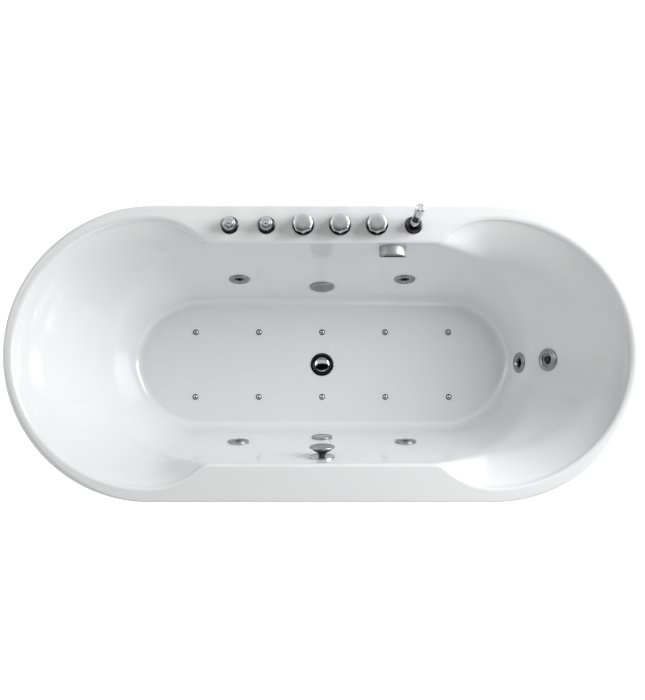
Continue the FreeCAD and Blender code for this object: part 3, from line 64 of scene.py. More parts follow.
# ---------------------------------------------------------------------------------------------
# Node graphs
# ---------------------------------------------------------------------------------------------
class Value:
    """A number in a node graph. Python's operators on it add Math nodes."""

    def __init__(self, graph: "Graph", socket: bpy.types.NodeSocket) -> None:
        """Wraps one output socket of a graph."""
        self.graph = graph
        self.socket = socket

    def math(self, operation: str, *others: "Value | float", first: "float | None" = None) -> "Value":
        """Adds one Math node.

        Args:
            operation: the Math node's operation.
            others: the inputs after this value.
            first: a plain number that goes before this value, for the reflected operators.

        Returns:
            The node's result.
        """
        terms = (self, *others) if first is None else (first, self)
        return self.graph.value("ShaderNodeMath", {"operation": operation}, dict(enumerate(terms)))

    def __add__(self, other: "Value | float") -> "Value":
        """This value plus another."""
        return self.math("ADD", other)

    def __sub__(self, other: "Value | float") -> "Value":
        """This value less another."""
        return self.math("SUBTRACT", other)

    def __mul__(self, other: "Value | float") -> "Value":
        """This value times another."""
        return self.math("MULTIPLY", other)

    def __truediv__(self, other: "Value | float") -> "Value":
        """This value over another."""
        return self.math("DIVIDE", other)

    def __pow__(self, other: "Value | float") -> "Value":
        """This value to a power."""
        return self.math("POWER", other)

    def __radd__(self, other: float) -> "Value":
        """A number plus this value."""
        return self.math("ADD", first=other)

    def __rsub__(self, other: float) -> "Value":
        """A number less this value."""
        return self.math("SUBTRACT", first=other)

    def __rmul__(self, other: float) -> "Value":
        """A number times this value."""
        return self.math("MULTIPLY", first=other)

    def __rtruediv__(self, other: float) -> "Value":
        """A number over this value."""
        return self.math("DIVIDE", first=other)

    def __gt__(self, other: "Value | float") -> "Value":
        """One where this value is the greater, and nought elsewhere."""
        return self.math("GREATER_THAN", other)

    def __abs__(self) -> "Value":
        """The value without its sign."""
        return self.math("ABSOLUTE")

    def least(self, other: "Value | float") -> "Value":
        """The smaller of two values."""
        return self.math("MINIMUM", other)

    def most(self, other: "Value | float") -> "Value":
        """The larger of two values."""
        return self.math("MAXIMUM", other)

    def soft_most(self, other: "Value | float", reach: "Value | float") -> "Value":
        """The larger of two values, rounded over where they are within reach of each other."""
        return self.math("SMOOTH_MAX", other, reach)

    def root(self) -> "Value":
        """The square root."""
        return self.math("SQRT")

    def sine(self) -> "Value":
        """The sine of an angle in radians."""
        return self.math("SINE")

    def cosine(self) -> "Value":
        """The cosine of an angle in radians."""
        return self.math("COSINE")

    def sign(self) -> "Value":
        """Minus one, nought or one."""
        return self.math("SIGN")

    def share(self, low: "Value | float", high: "Value | float") -> "Value":
        """How far the value is from low to high, held between 0 and 1."""
        return self.graph.value("ShaderNodeMapRange", {"clamp": True},
                                {"Value": self, "From Min": low, "From Max": high})

    def ease(self, low: float, high: float) -> "Value":
        """As share, with a soft start and end."""
        return self.graph.value("ShaderNodeMapRange", {"interpolation_type": "SMOOTHSTEP"},
                                {"Value": self, "From Min": low, "From Max": high})

    def towards(self, other: "Value | float", share: "Value | float") -> "Value":
        """This value moved by a share of the way towards another."""
        return self + (other - self) * share


class Graph:
    """One node tree and the one way that nodes are added to it."""

    def __init__(self, tree: bpy.types.NodeTree) -> None:
        """Wraps a shader or geometry node tree."""
        self.tree = tree

    def node(self, kind: str, settings: "dict | None" = None, inputs: "dict | None" = None) -> bpy.types.Node:
        """Adds a node.

        Args:
            kind: the node's type.
            settings: its properties, or for a curve its "points", set before the inputs.
            inputs: numbers, colours, vectors, sockets or Values by the input's name or number.

        Returns:
            The new node.
        """
        made = self.tree.nodes.new(kind)
        for name, setting in (settings or {}).items():
            if name == "points":
                self._set_points(made.mapping, setting)
            else:
                setattr(made, name, setting)
        for key, given in (inputs or {}).items():
            given = given.socket if isinstance(given, Value) else given
            if isinstance(given, bpy.types.NodeSocket):
                self.tree.links.new(given, made.inputs[key])
            else:
                made.inputs[key].default_value = given
        return made

    @staticmethod
    def _set_points(mapping: bpy.types.CurveMapping, points: Sequence[Point]) -> None:
        """Puts a smooth curve's points in place.

        Args:
            mapping: the curve node's mapping.
            points: the place along and the height of each point.
        """
        curve = mapping.curves[0]
        while len(curve.points) < len(points):
            curve.points.new(0.5, 0.5)
        for knot, (across, height) in zip(curve.points, points):
            knot.location = (across, height)
            knot.handle_type = "AUTO"
        mapping.update()

    def value(self, kind: str, settings: "dict | None" = None, inputs: "dict | None" = None,
              output: "str | int" = 0) -> Value:
        """Adds a node and returns one of its outputs, the first if none is named."""
        return Value(self, self.node(kind, settings, inputs).outputs[output])


class Form(Graph):
    """A geometry node tree whose inputs are named sizes, run once to give a plain mesh."""

    def __init__(self, name: str, sizes: dict[str, "float | int"]) -> None:
        """Makes the tree.

        Args:
            name: the tree's name.
            sizes: the named inputs, each a whole number or a length in metres.
        """
        super().__init__(bpy.data.node_groups.new(name, "GeometryNodeTree"))
        self.sizes = sizes
        self.sockets: dict[str, str] = {}
        face = self.tree.interface
        face.new_socket("Geometry", in_out="INPUT", socket_type="NodeSocketGeometry")
        for label, size in sizes.items():
            kind = "NodeSocketInt" if isinstance(size, int) else "NodeSocketFloat"
            self.sockets[label] = face.new_socket(label, in_out="INPUT", socket_type=kind).identifier
        face.new_socket("Geometry", in_out="OUTPUT", socket_type="NodeSocketGeometry")
        self.start = self.node("NodeGroupInput")

    def size(self, label: str) -> Value:
        """A named input's value."""
        return Value(self, self.start.outputs[label])

    def grid(self, columns: "Value | int", rows: "Value | int") -> tuple[Value, Value, Value]:
        """A flat grid to be bent into a form.

        Args:
            columns: how many points go across.
            rows: how many go up.

        Returns:
            The mesh, and for each point its share along the columns and along the rows.
        """
        mesh = self.node("GeometryNodeMeshGrid", None, {"Size X": 1.0, "Size Y": 1.0,
                                                        "Vertices X": columns, "Vertices Y": rows})
        split = self.node("ShaderNodeSeparateXYZ", None,
                          {0: self.node("GeometryNodeInputPosition").outputs[0]})
        return (Value(self, mesh.outputs["Mesh"]), Value(self, split.outputs[0]) + 0.5,
                Value(self, split.outputs[1]) + 0.5)

    def moved(self, mesh: Value, x: Value, y: Value, z: Value) -> Value:
        """The mesh with each point at a worked-out place."""
        place = self.node("ShaderNodeCombineXYZ", None, {0: x, 1: y, 2: z})
        return self.value("GeometryNodeSetPosition", None, {"Geometry": mesh, "Position": place.outputs[0]})

    def joined(self, mesh: Value) -> Value:
        """The mesh with the points of its seam and poles merged."""
        return self.value("GeometryNodeMergeByDistance", None, {"Geometry": mesh, "Distance": 0.00002})

    def ring(self, piece: Value, count: Value, radius: "Value | float",
             phase: "Value | float" = 0.0) -> Value:
        """Copies of a piece round the Z axis, each turned to face outwards.

        Args:
            piece: the geometry to repeat, made at the origin and pointing along +X.
            count: how many copies.
            radius: how far from the axis they stand.
            phase: the turn of the first one, in radians.
        """
        line = self.value("GeometryNodeMeshLine", None, {"Count": count})
        order = Value(self, self.node("GeometryNodeInputIndex").outputs[0])
        angle = order * (2 * math.pi) / count + phase
        places = self.moved(line, angle.cosine() * radius, angle.sine() * radius, angle * 0.0)
        turn = self.node("ShaderNodeCombineXYZ", None, {2: angle})
        copies = self.value("GeometryNodeInstanceOnPoints", None,
                            {"Points": places, "Instance": piece, "Rotation": turn.outputs[0]})
        return self.value("GeometryNodeRealizeInstances", None, {"Geometry": copies})

    def made(self, name: str, mesh: Value, finish: bpy.types.Material,
             body: "bpy.types.Object | None" = None) -> bpy.types.Object:
        """Runs the tree and keeps its result as a plain mesh.

        Args:
            name: the new piece's name.
            mesh: the tree's final geometry.
            finish: the material that the tree sets.
            body: an object whose mesh goes into the tree, removed afterwards.

        Returns:
            The piece, at the origin.
        """
        whole = self.value("GeometryNodeRealizeInstances", None, {"Geometry": mesh})
        smooth = self.value("GeometryNodeSetShadeSmooth", None, {"Geometry": whole, "Shade Smooth": True})
        coated = self.value("GeometryNodeSetMaterial", None, {"Geometry": smooth, "Material": finish})
        self.node("NodeGroupOutput", None, {0: coated})
        holder = body or new_object(name + "_source", bpy.data.meshes.new(name + "_source"))
        modifier = holder.modifiers.new("Form", "NODES")
        modifier.node_group = self.tree
        for label, size in self.sizes.items():
            modifier[self.sockets[label]] = size
        evaluated = holder.evaluated_get(bpy.context.evaluated_depsgraph_get())
        plain = bpy.data.meshes.new_from_object(evaluated)
        plain.name = name
        holder.modifiers.remove(modifier)
        bpy.data.objects.remove(holder)
        piece = new_object(name, plain)
        if not plain.materials:
            plain.materials.append(finish)
        return piece


# ---------------------------------------------------------------------------------------------
# Finishes
# ---------------------------------------------------------------------------------------------
class Grain(Enum):
    """The fine relief that a finish shows close up."""

    POLISHED = "polished"
    BRUSHED = "brushed"
    CAST = "cast"
    MOULDED = "moulded"
    WOVEN = "woven"
    SPANGLED = "spangled"
    PLIES = "plies"


@dataclass(frozen=True)
class Finish:
    """One material: its base colour, gloss, fine relief and the dulling that use gives it."""

    name: str
    colour: tuple[float, float, float]
    roughness: float = 0.3
    metallic: float = 0.0
    coat: float = 0.0
    grain: Grain = Grain.MOULDED
    grain_size: float = 0.6
    relief: float = 0.04
    drift: float = 0.05
    haze: float = 0.05
    clear: float = 0.0

    def _relief(self, graph: Graph, where: bpy.types.NodeSocket) -> Value:
        """The height pattern of the grain.

        Args:
            graph: the material's node graph.
            where: Object coordinates.

        Returns:
            A height from 0 to 1.
        """
        scale = 1.0 / (self.grain_size * MM)
        noise = {"Vector": where, "Scale": scale, "Detail": 2.0}
        if self.grain is Grain.BRUSHED:
            streaks = graph.node("ShaderNodeMapping", None, {"Vector": where, "Scale": (1.0, 1.0, 0.04)})
            return graph.value("ShaderNodeTexNoise", None, {**noise, "Vector": streaks.outputs[0]})
        if self.grain is Grain.SPANGLED:
            return graph.value("ShaderNodeTexVoronoi", None, {"Vector": where, "Scale": scale})
        if self.grain is Grain.WOVEN:
            axes = graph.node("ShaderNodeSeparateXYZ", None, {0: where})
            along, across, up = (Value(graph, output) for output in axes.outputs)
            one = ((along + across + up) * scale * math.pi).sine()
            other = ((along + across - up) * scale * math.pi).sine()
            return one * other * 0.5 + 0.5
        if self.grain is Grain.PLIES:
            stretched = graph.node("ShaderNodeMapping", None, {"Vector": where, "Scale": (0.05, 1.0, 1.0)})
            return graph.value("ShaderNodeTexNoise", None, {**noise, "Vector": stretched.outputs[0],
                                                            "Detail": 5.0, "Distortion": 0.6})
        return graph.value("ShaderNodeTexNoise", None, noise)

    def build(self) -> bpy.types.Material:
        """Makes the material.

        Returns:
            A node material whose colour, roughness and normal vary over the surface.
        """
        material = bpy.data.materials.new(self.name)
        material.use_nodes = True
        material.node_tree.nodes.clear()
        graph = Graph(material.node_tree)
        where = graph.node("ShaderNodeTexCoord").outputs["Object"]
        height = self._relief(graph, where)
        cloud = graph.value("ShaderNodeTexNoise", None, {"Vector": where, "Scale": 9.0, "Detail": 3.0})
        mark = graph.value("ShaderNodeTexNoise", None, {"Vector": where, "Scale": 70.0, "Detail": 4.0})
        weight = self.drift * (4.0 if self.grain in (Grain.PLIES, Grain.SPANGLED) else 0.6)
        dull = (cloud.ease(0.35, 0.75) * self.drift + height * weight).least(1.0)
        deeper = tuple(channel * 0.62 for channel in self.colour)
        tint = graph.node("ShaderNodeMix", {"data_type": "RGBA"},
                          {"Factor": dull, 6: (*self.colour, 1.0), 7: (*deeper, 1.0)})
        rough = (mark.ease(0.4, 0.8) * self.haze + cloud * self.haze * 0.5
                 + (self.roughness - self.haze * 0.25))
        bump = graph.node("ShaderNodeBump", None, {"Height": height, "Strength": 0.35,
                                                   "Distance": self.relief * MM})
        surface = graph.node("ShaderNodeBsdfPrincipled", None, {
            "Base Color": tint.outputs[2], "Roughness": rough.most(0.02), "Metallic": self.metallic,
            "Coat Weight": self.coat, "Coat Roughness": 0.05, "Normal": bump.outputs[0]})
        if self.clear:
            surface.inputs["Transmission Weight"].default_value = self.clear
            surface.inputs["IOR"].default_value = 1.45
        graph.node("ShaderNodeOutputMaterial", None, {"Surface": surface.outputs[0]})
        return material


FINISHES = (
    Finish("acrylic", (0.80, 0.805, 0.81), 0.16, coat=0.55, grain_size=9.0, relief=0.03, drift=0.012,
           haze=0.05),
    Finish("acrylic_skirt", (0.79, 0.795, 0.80), 0.2, coat=0.4, grain_size=11.0, relief=0.05, drift=0.02,
           haze=0.06),
    Finish("chrome", (0.46, 0.465, 0.475), 0.09, 1.0, grain=Grain.POLISHED, grain_size=3.0, relief=0.01,
           drift=0.08, haze=0.05),
    Finish("knob_chrome", (0.54, 0.543, 0.55), 0.33, 1.0, grain=Grain.POLISHED, grain_size=2.5,
           relief=0.01, drift=0.06, haze=0.08),
    # dark_chrome: near-black polished metal. On the knob bodies, switch bells, shower collar, drain flange
    # and injector seats its darkness is painted reflection, standing in for the black that polished chrome
    # mirrors from dark surroundings.
    Finish("dark_chrome", (0.055, 0.056, 0.06), 0.16, 1.0, grain=Grain.POLISHED, grain_size=2.0,
           relief=0.01, drift=0.2, haze=0.08),
    Finish("satin_metal", (0.42, 0.425, 0.435), 0.34, 1.0, grain=Grain.BRUSHED, grain_size=0.5,
           relief=0.03, drift=0.12, haze=0.1),
    Finish("jet_metal", (0.34, 0.343, 0.35), 0.30, 1.0, grain=Grain.POLISHED, grain_size=2.0,
           relief=0.01, drift=0.1, haze=0.08),
    Finish("spout_metal", (0.33, 0.333, 0.34), 0.44, 1.0, grain=Grain.POLISHED, grain_size=2.5,
           relief=0.01, drift=0.08, haze=0.06),
    Finish("button_cap", (0.55, 0.56, 0.575), 0.22, 1.0, grain=Grain.POLISHED, grain_size=2.0,
           relief=0.01, drift=0.08, haze=0.06),
    Finish("handset_shell", (0.70, 0.705, 0.715), 0.13, 1.0, grain=Grain.POLISHED, grain_size=3.0,
           relief=0.01, drift=0.06, haze=0.05),
    Finish("lens", (0.30, 0.31, 0.32), 0.28, coat=0.5, grain_size=1.2, relief=0.12, drift=0.1, haze=0.08),
    Finish("rubber", (0.028, 0.028, 0.03), 0.62, grain_size=0.4, relief=0.06, drift=0.3, haze=0.12),
    Finish("brass", (0.62, 0.44, 0.19), 0.28, 1.0, grain=Grain.CAST, grain_size=0.9, relief=0.05,
           drift=0.25, haze=0.14),
    Finish("dark_plastic", (0.035, 0.036, 0.04), 0.42, grain_size=0.5, relief=0.06, drift=0.25, haze=0.12),
    Finish("pipe_plastic", (0.72, 0.725, 0.72), 0.34, grain_size=0.9, relief=0.05, drift=0.08, haze=0.1),
    Finish("clear_hose", (0.66, 0.70, 0.72), 0.2, coat=0.3, grain_size=1.4, relief=0.05, drift=0.12,
           haze=0.08, clear=0.35),
    Finish("cable_jacket", (0.05, 0.05, 0.055), 0.5, grain_size=0.4, relief=0.05, drift=0.2, haze=0.1),
    Finish("board", (0.50, 0.36, 0.22), 0.62, grain=Grain.PLIES, grain_size=4.0, relief=0.15, drift=0.22,
           haze=0.12),
    Finish("frame_steel", (0.33, 0.335, 0.345), 0.42, 1.0, grain=Grain.SPANGLED, grain_size=6.0,
           relief=0.02, drift=0.12, haze=0.14),
    Finish("zinc", (0.56, 0.565, 0.58), 0.34, 1.0, grain=Grain.SPANGLED, grain_size=3.0, relief=0.02,
           drift=0.14, haze=0.12),
    Finish("motor_paint", (0.10, 0.16, 0.25), 0.38, coat=0.25, grain=Grain.CAST, grain_size=1.4,
           relief=0.08, drift=0.2, haze=0.12),
    Finish("braid", (0.50, 0.505, 0.515), 0.3, 0.9, grain=Grain.WOVEN, grain_size=1.6, relief=0.35,
           drift=0.3, haze=0.1),
    Finish("hose_chrome", (0.55, 0.56, 0.575), 0.16, 1.0, grain=Grain.POLISHED, grain_size=2.0,
           relief=0.01, drift=0.1, haze=0.08),
)
COATS: dict[str, bpy.types.Material] = {}


# ---------------------------------------------------------------------------------------------
# Places and meshes
# ---------------------------------------------------------------------------------------------
@dataclass(frozen=True)
class Place:
    """A point on the tub, in millimetres, and the direction that a fitting there faces."""

    at: tuple[float, float, float]
    facing: tuple[float, float, float] = (0.0, 0.0, 1.0)

    def matrix(self) -> Matrix:
        """The place as a matrix in metres, its own Z along facing and its X level."""
        outward = Vector(self.facing).normalized()
        along = Vector((1, 0, 0)) if outward.z > 0.97 else UP.cross(outward).normalized()
        along = (along - outward * along.dot(outward)).normalized()
        turn = Matrix((along, outward.cross(along), outward)).transposed().to_4x4()
        return Matrix.Translation(Vector(self.at) * MM) @ turn


def new_object(name: str, mesh: bpy.types.Mesh) -> bpy.types.Object:
    """Links a new object for a mesh.

    Args:
        name: the object's name.
        mesh: its mesh.

    Returns:
        The object, at the origin.
    """
    made = bpy.data.objects.new(name, mesh)
    bpy.context.scene.collection.objects.link(made)
    return made


def from_bmesh(name: str, shape: bmesh.types.BMesh, coat: str) -> bpy.types.Object:
    """Turns a finished bmesh into a piece with one finish.

    Args:
        name: the piece's name.
        shape: the mesh, in metres, freed here.
        coat: the finish's name.

    Returns:
        The piece, at the origin.
    """
    mesh = bpy.data.meshes.new(name)
    shape.to_mesh(mesh)
    shape.free()
    mesh.materials.append(COATS[coat])
    for face in mesh.polygons:
        face.use_smooth = True
    return new_object(name, mesh)


def loft(shape: bmesh.types.BMesh, rings: Sequence[Sequence[tuple[float, float, float]]], place: Place,
         loop: bool = False) -> None:
    """Adds a skin over rings of points to a mesh.

    Args:
        shape: the mesh that it joins.
        rings: each ring's points in millimetres, anticlockwise; a ring of one point closes an end.
        place: where the rings' own origin stands and which way their Z faces.
        loop: whether the last ring meets the first.
    """
    matrix = place.matrix()
    made = [[shape.verts.new(matrix @ (Vector(point) * MM)) for point in ring] for ring in rings]
    sides = max(len(ring) for ring in made)
    pairs = list(zip(made, made[1:]))
    if loop:
        pairs.append((made[-1], made[0]))
    for lower, upper in pairs:
        for i in range(sides):
            after = (i + 1) % sides
            corners = [lower[i % len(lower)], lower[after % len(lower)],
                       upper[after % len(upper)], upper[i % len(upper)]]
            corners = list(dict.fromkeys(corners))
            if len(corners) > 2:
                shape.faces.new(corners)


def turned(shape: bmesh.types.BMesh, profile: Sequence[Point], place: Place, sides: int = 64,
           loop: bool = False) -> None:
    """Adds a turned form to a mesh.

    Args:
        shape: the mesh that it joins.
        profile: radius and height in millimetres, from the lowest point on the outside to the top.
        place: where its foot stands and which way it faces.
        sides: how many faces go round.
        loop: whether the profile closes on itself, as round a ring with a hole.
    """
    angles = [2 * math.pi * i / sides for i in range(sides)]
    rings = [[(radius * math.cos(a), radius * math.sin(a), height) for a in angles]
             if radius > 1e-6 else [(0.0, 0.0, height)] for radius, height in profile]
    loft(shape, rings, place, loop)


def bent(*arcs: tuple[float, float, float, float, float], steps: int = 5) -> list[Point]:
    """Points round corners of a profile.

    Args:
        arcs: for each corner its centre's radius and height, its size, and its first and last angle in
            degrees, measured from straight outwards towards the top.
        steps: how many faces go round each corner.

    Returns:
        The points of all the corners, in order.
    """
    points = []
    for radius, height, size, first, last in arcs:
        for i in range(steps + 1):
            angle = math.radians(first + (last - first) * i / steps)
            points.append((radius + size * math.cos(angle), height + size * math.sin(angle)))
    return points


def crease(piece: bpy.types.Object, degrees: float = 38.0) -> bpy.types.Object:
    """Marks the edges of a piece that stay sharp under smooth shading."""
    piece.data.set_sharp_from_angle(angle=math.radians(degrees))
    return piece


def spun(name: str, coat: str, place: Place, profile: Sequence[Point], sides: int = 64,
         loop: bool = False, degrees: float = 38.0) -> bpy.types.Object:
    """Makes one turned piece, with its sharp edges marked.

    Args:
        name: the piece's name.
        coat: the finish's name.
        place: where its foot stands and which way it faces.
        profile: as for turned, with sides and loop.
        sides: how many faces go round.
        loop: whether the profile closes on itself.
        degrees: the angle from which an edge stays sharp.

    Returns:
        The piece, in the tub's frame.
    """
    shape = bmesh.new()
    turned(shape, profile, place, sides, loop)
    return crease(from_bmesh(name, shape, coat), degrees)


def settle(piece: bpy.types.Object, body: str, coat: str, *nodes: str) -> bpy.types.Object:
    """Puts a finished piece on its body.

    Args:
        piece: the finished piece.
        body: the CAD body that it rides on.
        coat: the record's material slot; not used.
        nodes: the CAD nodes that it stands for.

    Returns:
        The piece.
    """
    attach(piece, body)
    if nodes:
        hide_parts(*nodes)
    log.info("%s rides on %s, %d faces", piece.name, body, len(piece.data.polygons))
    return piece


def pierce(piece: bpy.types.Object, holes: Iterable[tuple[Place, float, float]]) -> None:
    """Bores round holes through a piece.

    Args:
        piece: a closed mesh.
        holes: for each hole its place, its radius and its depth each way, in millimetres.
    """
    drill = bmesh.new()
    for place, radius, depth in holes:
        turned(drill, [(0, -depth), (radius, -depth), (radius, depth), (0, depth)], place, 48)
    carve(piece, drill)


def carve(piece: bpy.types.Object, tool: bmesh.types.BMesh) -> None:
    """Cuts a closed form out of a piece.

    Args:
        piece: a closed mesh.
        tool: the form to cut away, in metres, freed here.
    """
    mesh = bpy.data.meshes.new("tool")
    tool.to_mesh(mesh)
    tool.free()
    cutter = new_object("tool", mesh)
    modifier = piece.modifiers.new("Holes", "BOOLEAN")
    modifier.operation = "DIFFERENCE"
    modifier.solver = "EXACT"
    modifier.object = cutter
    apply_modifiers(piece)
    bpy.data.objects.remove(cutter)


def apply_modifiers(piece: bpy.types.Object) -> None:
    """Bakes a piece's modifiers into its mesh.

    Args:
        piece: the piece, left with no modifiers.
    """
    evaluated = piece.evaluated_get(bpy.context.evaluated_depsgraph_get())
    mesh = bpy.data.meshes.new_from_object(evaluated)
    piece.modifiers.clear()
    piece.data = mesh


# ---------------------------------------------------------------------------------------------
# The basin and the skirt
# ---------------------------------------------------------------------------------------------
@dataclass(frozen=True)
class Outline:
    """Where each column of a grid stands round a form with straight sides and round ends."""

    along: Value
    cosine: Value
    sine: Value
    end: Value
    back: Value

    @classmethod
    def of(cls, across: Value, straight: float) -> "Outline":
        """Reads the columns.

        Args:
            across: each point's share along the grid's columns.
            straight: the share of the columns that the straight sides take.

        Returns:
            The share along the straight side, the direction in the quarter turn, and the two signs.
        """
        turn = across * 2.0
        half = 1.0 - abs(turn - 1.0)
        reach = abs(half * 2.0 - 1.0)
        angle = (1.0 - (reach - straight).most(0.0) / (1.0 - straight)) * (math.pi / 2)
        return cls((reach / straight).least(1.0), angle.cosine(), angle.sine(),
                   (1.0 - half * 2.0).sign(), (1.0 - turn).sign())

    def point(self, centre: Value, radius: Value) -> tuple[Value, Value]:
        """A point at a radius from the column's own centre on the middle line."""
        return ((centre + radius * self.cosine) * self.end, radius * self.sine * self.back)


@dataclass
class Basin:
    """The moulded basin: a trough, a shallow bowl at each end, and a rim rolled over at the ends."""

    half_length: float = 850.0
    half_width: float = 395.0
    top: float = 600.0
    floor: float = 180.0
    floor_half_length: float = 545.0
    floor_half_width: float = 192.0
    top_half_length: float = 727.0
    top_half_width: float = 295.0
    floor_round: float = 34.0
    bowl_x: float = 455.0
    rings: tuple[tuple[float, float, float, float], ...] = (
        (0, 365, 365, 270), (40, 353, 322, 194), (100, 304.4, 274, 135), (160, 255.9, 243, 110),
        (250, 183, 183, 90), (350, 102, 102, 60))
    ridge_side: float = 16.0
    ridge_end: float = 16.0
    roll_side: float = 11.0
    roll_end: float = 15.0
    edge_side: float = 4.5
    edge_end: float = 15.5
    lip: float = 45.0
    wall: float = 7.7
    columns: int = 98
    straight_columns: int = 36
    rows: tuple[int, ...] = (8, 9, 66, 6, 6, 7, 3)
    roll_start: float = math.radians(15.0)
    widest: float = 400.0

    def _ring_curve(self, form: Form, drop: Value, number: int) -> Value:
        """One half-size of the bowl's rings at a drop below the rim.

        Args:
            form: the bowl's node tree.
            drop: how far below the rim, in metres.
            number: which number of each ring is the half-size.

        Returns:
            The half-size, in metres.
        """
        deepest = self.rings[-1][0]
        points = [(ring[0] / deepest, ring[number] / self.widest) for ring in self.rings]
        share = form.value("ShaderNodeFloatCurve", {"points": points},
                           {"Value": (drop / (deepest * MM)).least(1.0)})
        return share * (self.widest * MM)

    @staticmethod
    def _to_ring(start: Value, outline: Outline, along: Value, side: Value) -> Value:
        """How far a column's ray runs from a start before it meets a half ellipse."""
        offset = start / along
        step_x, step_y = outline.cosine / along, outline.sine / side
        step = step_x * step_x + step_y * step_y
        lead = offset * step_x
        inside = (lead * lead - step * (offset * offset - 1.0)).most(0.0)
        return (inside.root() - lead) / step

    def _wall_radius(self, form: Form, outline: Outline, height: Value) -> tuple[Value, Value]:
        """The inner wall at a height: each column's centre and its radius from there.

        Args:
            form: the basin's tree.
            outline: its columns.
            height: the height above the floor.

        Returns:
            The column's centre on the middle line, and the radius to the softer of trough and bowl.
        """
        size = form.size
        share = (height - size("Floor height")) / (size("Rim height") - size("Floor height"))
        length = size("Floor half length").towards(size("Top half length"), share)
        width = size("Floor half width").towards(size("Top half width"), share)
        centre = (length - width) * outline.along
        drop = size("Rim height") - height
        reach, side, inner = (self._ring_curve(form, drop, number) for number in (1, 2, 3))
        start = centre - size("Bowl place")
        far = self._to_ring(start, outline, reach, side)
        near = self._to_ring(start, outline, inner, side)
        past = (start + far * outline.cosine) > 0.0
        blend = size("Ridge at sides").towards(size("Ridge at ends"), outline.cosine)
        return centre, width.soft_most(near.towards(far, past), blend)

    def form(self) -> bpy.types.Object:
        """Bends one grid into the whole upper surface, from the floor to the lip.

        Returns:
            The surface as a plain mesh, facing into the basin.
        """
        form = Form("basin_form", {
            "Columns": 4 * self.columns + 1, "Rows": sum(self.rows) + 1,
            "Half length": self.half_length * MM, "Half width": self.half_width * MM,
            "Rim height": self.top * MM, "Floor height": self.floor * MM,
            "Floor half length": self.floor_half_length * MM,
            "Floor half width": self.floor_half_width * MM,
            "Top half length": self.top_half_length * MM, "Top half width": self.top_half_width * MM,
            "Floor round": self.floor_round * MM, "Bowl place": self.bowl_x * MM,
            "Ridge at sides": self.ridge_side * MM, "Ridge at ends": self.ridge_end * MM,
            "Roll at sides": self.roll_side * MM, "Roll at ends": self.roll_end * MM,
            "Edge at sides": self.edge_side * MM, "Edge at ends": self.edge_end * MM,
            "Lip": self.lip * MM})
        size = form.size
        mesh, across, down = form.grid(size("Columns"), size("Rows"))
        outline = Outline.of(across, self.straight_columns / self.columns)
        row = down * float(sum(self.rows))
        stops = [sum(self.rows[:i]) for i in range(len(self.rows) + 1)]
        floor, hollow, wall, roll, ledge, edge, lip = (
            row.share(float(first), float(last)) for first, last in zip(stops, stops[1:]))
        depth = size("Rim height") - size("Floor height")
        widen = size("Top half width") - size("Floor half width")
        lengthen = size("Top half length") - size("Floor half length")
        run = widen.towards(lengthen, outline.cosine) / depth
        lean = run.math("ARCTANGENT")
        bend = size("Floor round")
        at_end = outline.cosine.ease(0.12, 0.75)
        low = size("Floor height") + bend * (1.0 - lean.sine())
        inner = size("Roll at sides").towards(size("Roll at ends"), at_end)
        outer = size("Edge at sides").towards(size("Edge at ends"), at_end)
        high = size("Rim height") - inner * (1.0 - math.sin(self.roll_start))
        height = low.towards(high, wall)
        centre, radius = self._wall_radius(form, outline, height)
        _, foot = self._wall_radius(form, outline, low)
        _, head = self._wall_radius(form, outline, high)
        turned_in = roll.towards(1.0, 0.0) * (math.pi / 2 - self.roll_start) + self.roll_start
        falling = hollow * (math.pi / 2 - lean)
        over = edge * (math.pi / 2)
        last = size("Half width")
        to_rim = size("Half length") - last - centre
        circle = to_rim * outline.cosine + (last * last - (to_rim * outline.sine) ** 2.0).root()
        flat = last / outline.sine.most(0.05)
        beside = (to_rim - flat * outline.cosine) > 0.0
        rim = circle.towards(flat, beside) - outer
        reach = (floor * (foot - bend * lean.cosine()) + bend * falling.sine() + (radius - foot)
                 + inner * (math.cos(self.roll_start) - turned_in.cosine())
                 + ledge * (rim - head - inner * math.cos(self.roll_start)) + outer * over.sine())
        level = (size("Floor height") + bend * (1.0 - falling.cosine()) + wall * (high - low)
                 + inner * (turned_in.sine() - math.sin(self.roll_start))
                 - outer * (1.0 - over.cosine()) - lip * (size("Lip") - outer))
        x, y = outline.point(centre, reach)
        shaped = form.joined(form.moved(mesh, x, y, level))
        facing = form.value("GeometryNodeFlipFaces", None, {0: shaped})
        return form.made("basin_form", facing, COATS["acrylic"])

    def build(self, holes: Iterable[tuple[Place, float, float]]) -> bpy.types.Object:
        """Gives the surface its wall and bores the fittings' holes.

        Args:
            holes: for each hole its place, its radius and its depth each way.

        Returns:
            The piece, on its body.
        """
        piece = self.form()
        wall = piece.modifiers.new("Wall", "SOLIDIFY")
        wall.thickness = self.wall * MM
        wall.offset = -1.0
        wall.use_even_offset = True
        apply_modifiers(piece)
        pierce(piece, holes)
        return settle(crease(piece), TUB, "acrylic", "basin_shell")

    def _share(self, z: float) -> float:
        """How far up the trough's wall a height is."""
        return (z - self.floor) / (self.top - self.floor)

    def on_side(self, x: float, z: float, side: int) -> Place:
        """A place on the back (side 1) or front (side -1) wall.

        Args:
            x: its distance along the tub.
            z: its height.
            side: 1 for the back wall and -1 for the front.

        Returns:
            The place, facing into the bowl.
        """
        run = self.top_half_width - self.floor_half_width
        width = self.floor_half_width + run * self._share(z)
        return Place((x, side * width, z), (0.0, -side * (self.top - self.floor), run))

    def on_end(self, z: float) -> Place:
        """A place on the trough's wall at the foot end.

        Args:
            z: its height.

        Returns:
            The place, facing into the bowl.
        """
        run = self.top_half_length - self.floor_half_length
        length = self.floor_half_length + run * self._share(z)
        return Place((length, 0.0, z), (self.floor - self.top, 0.0, run))

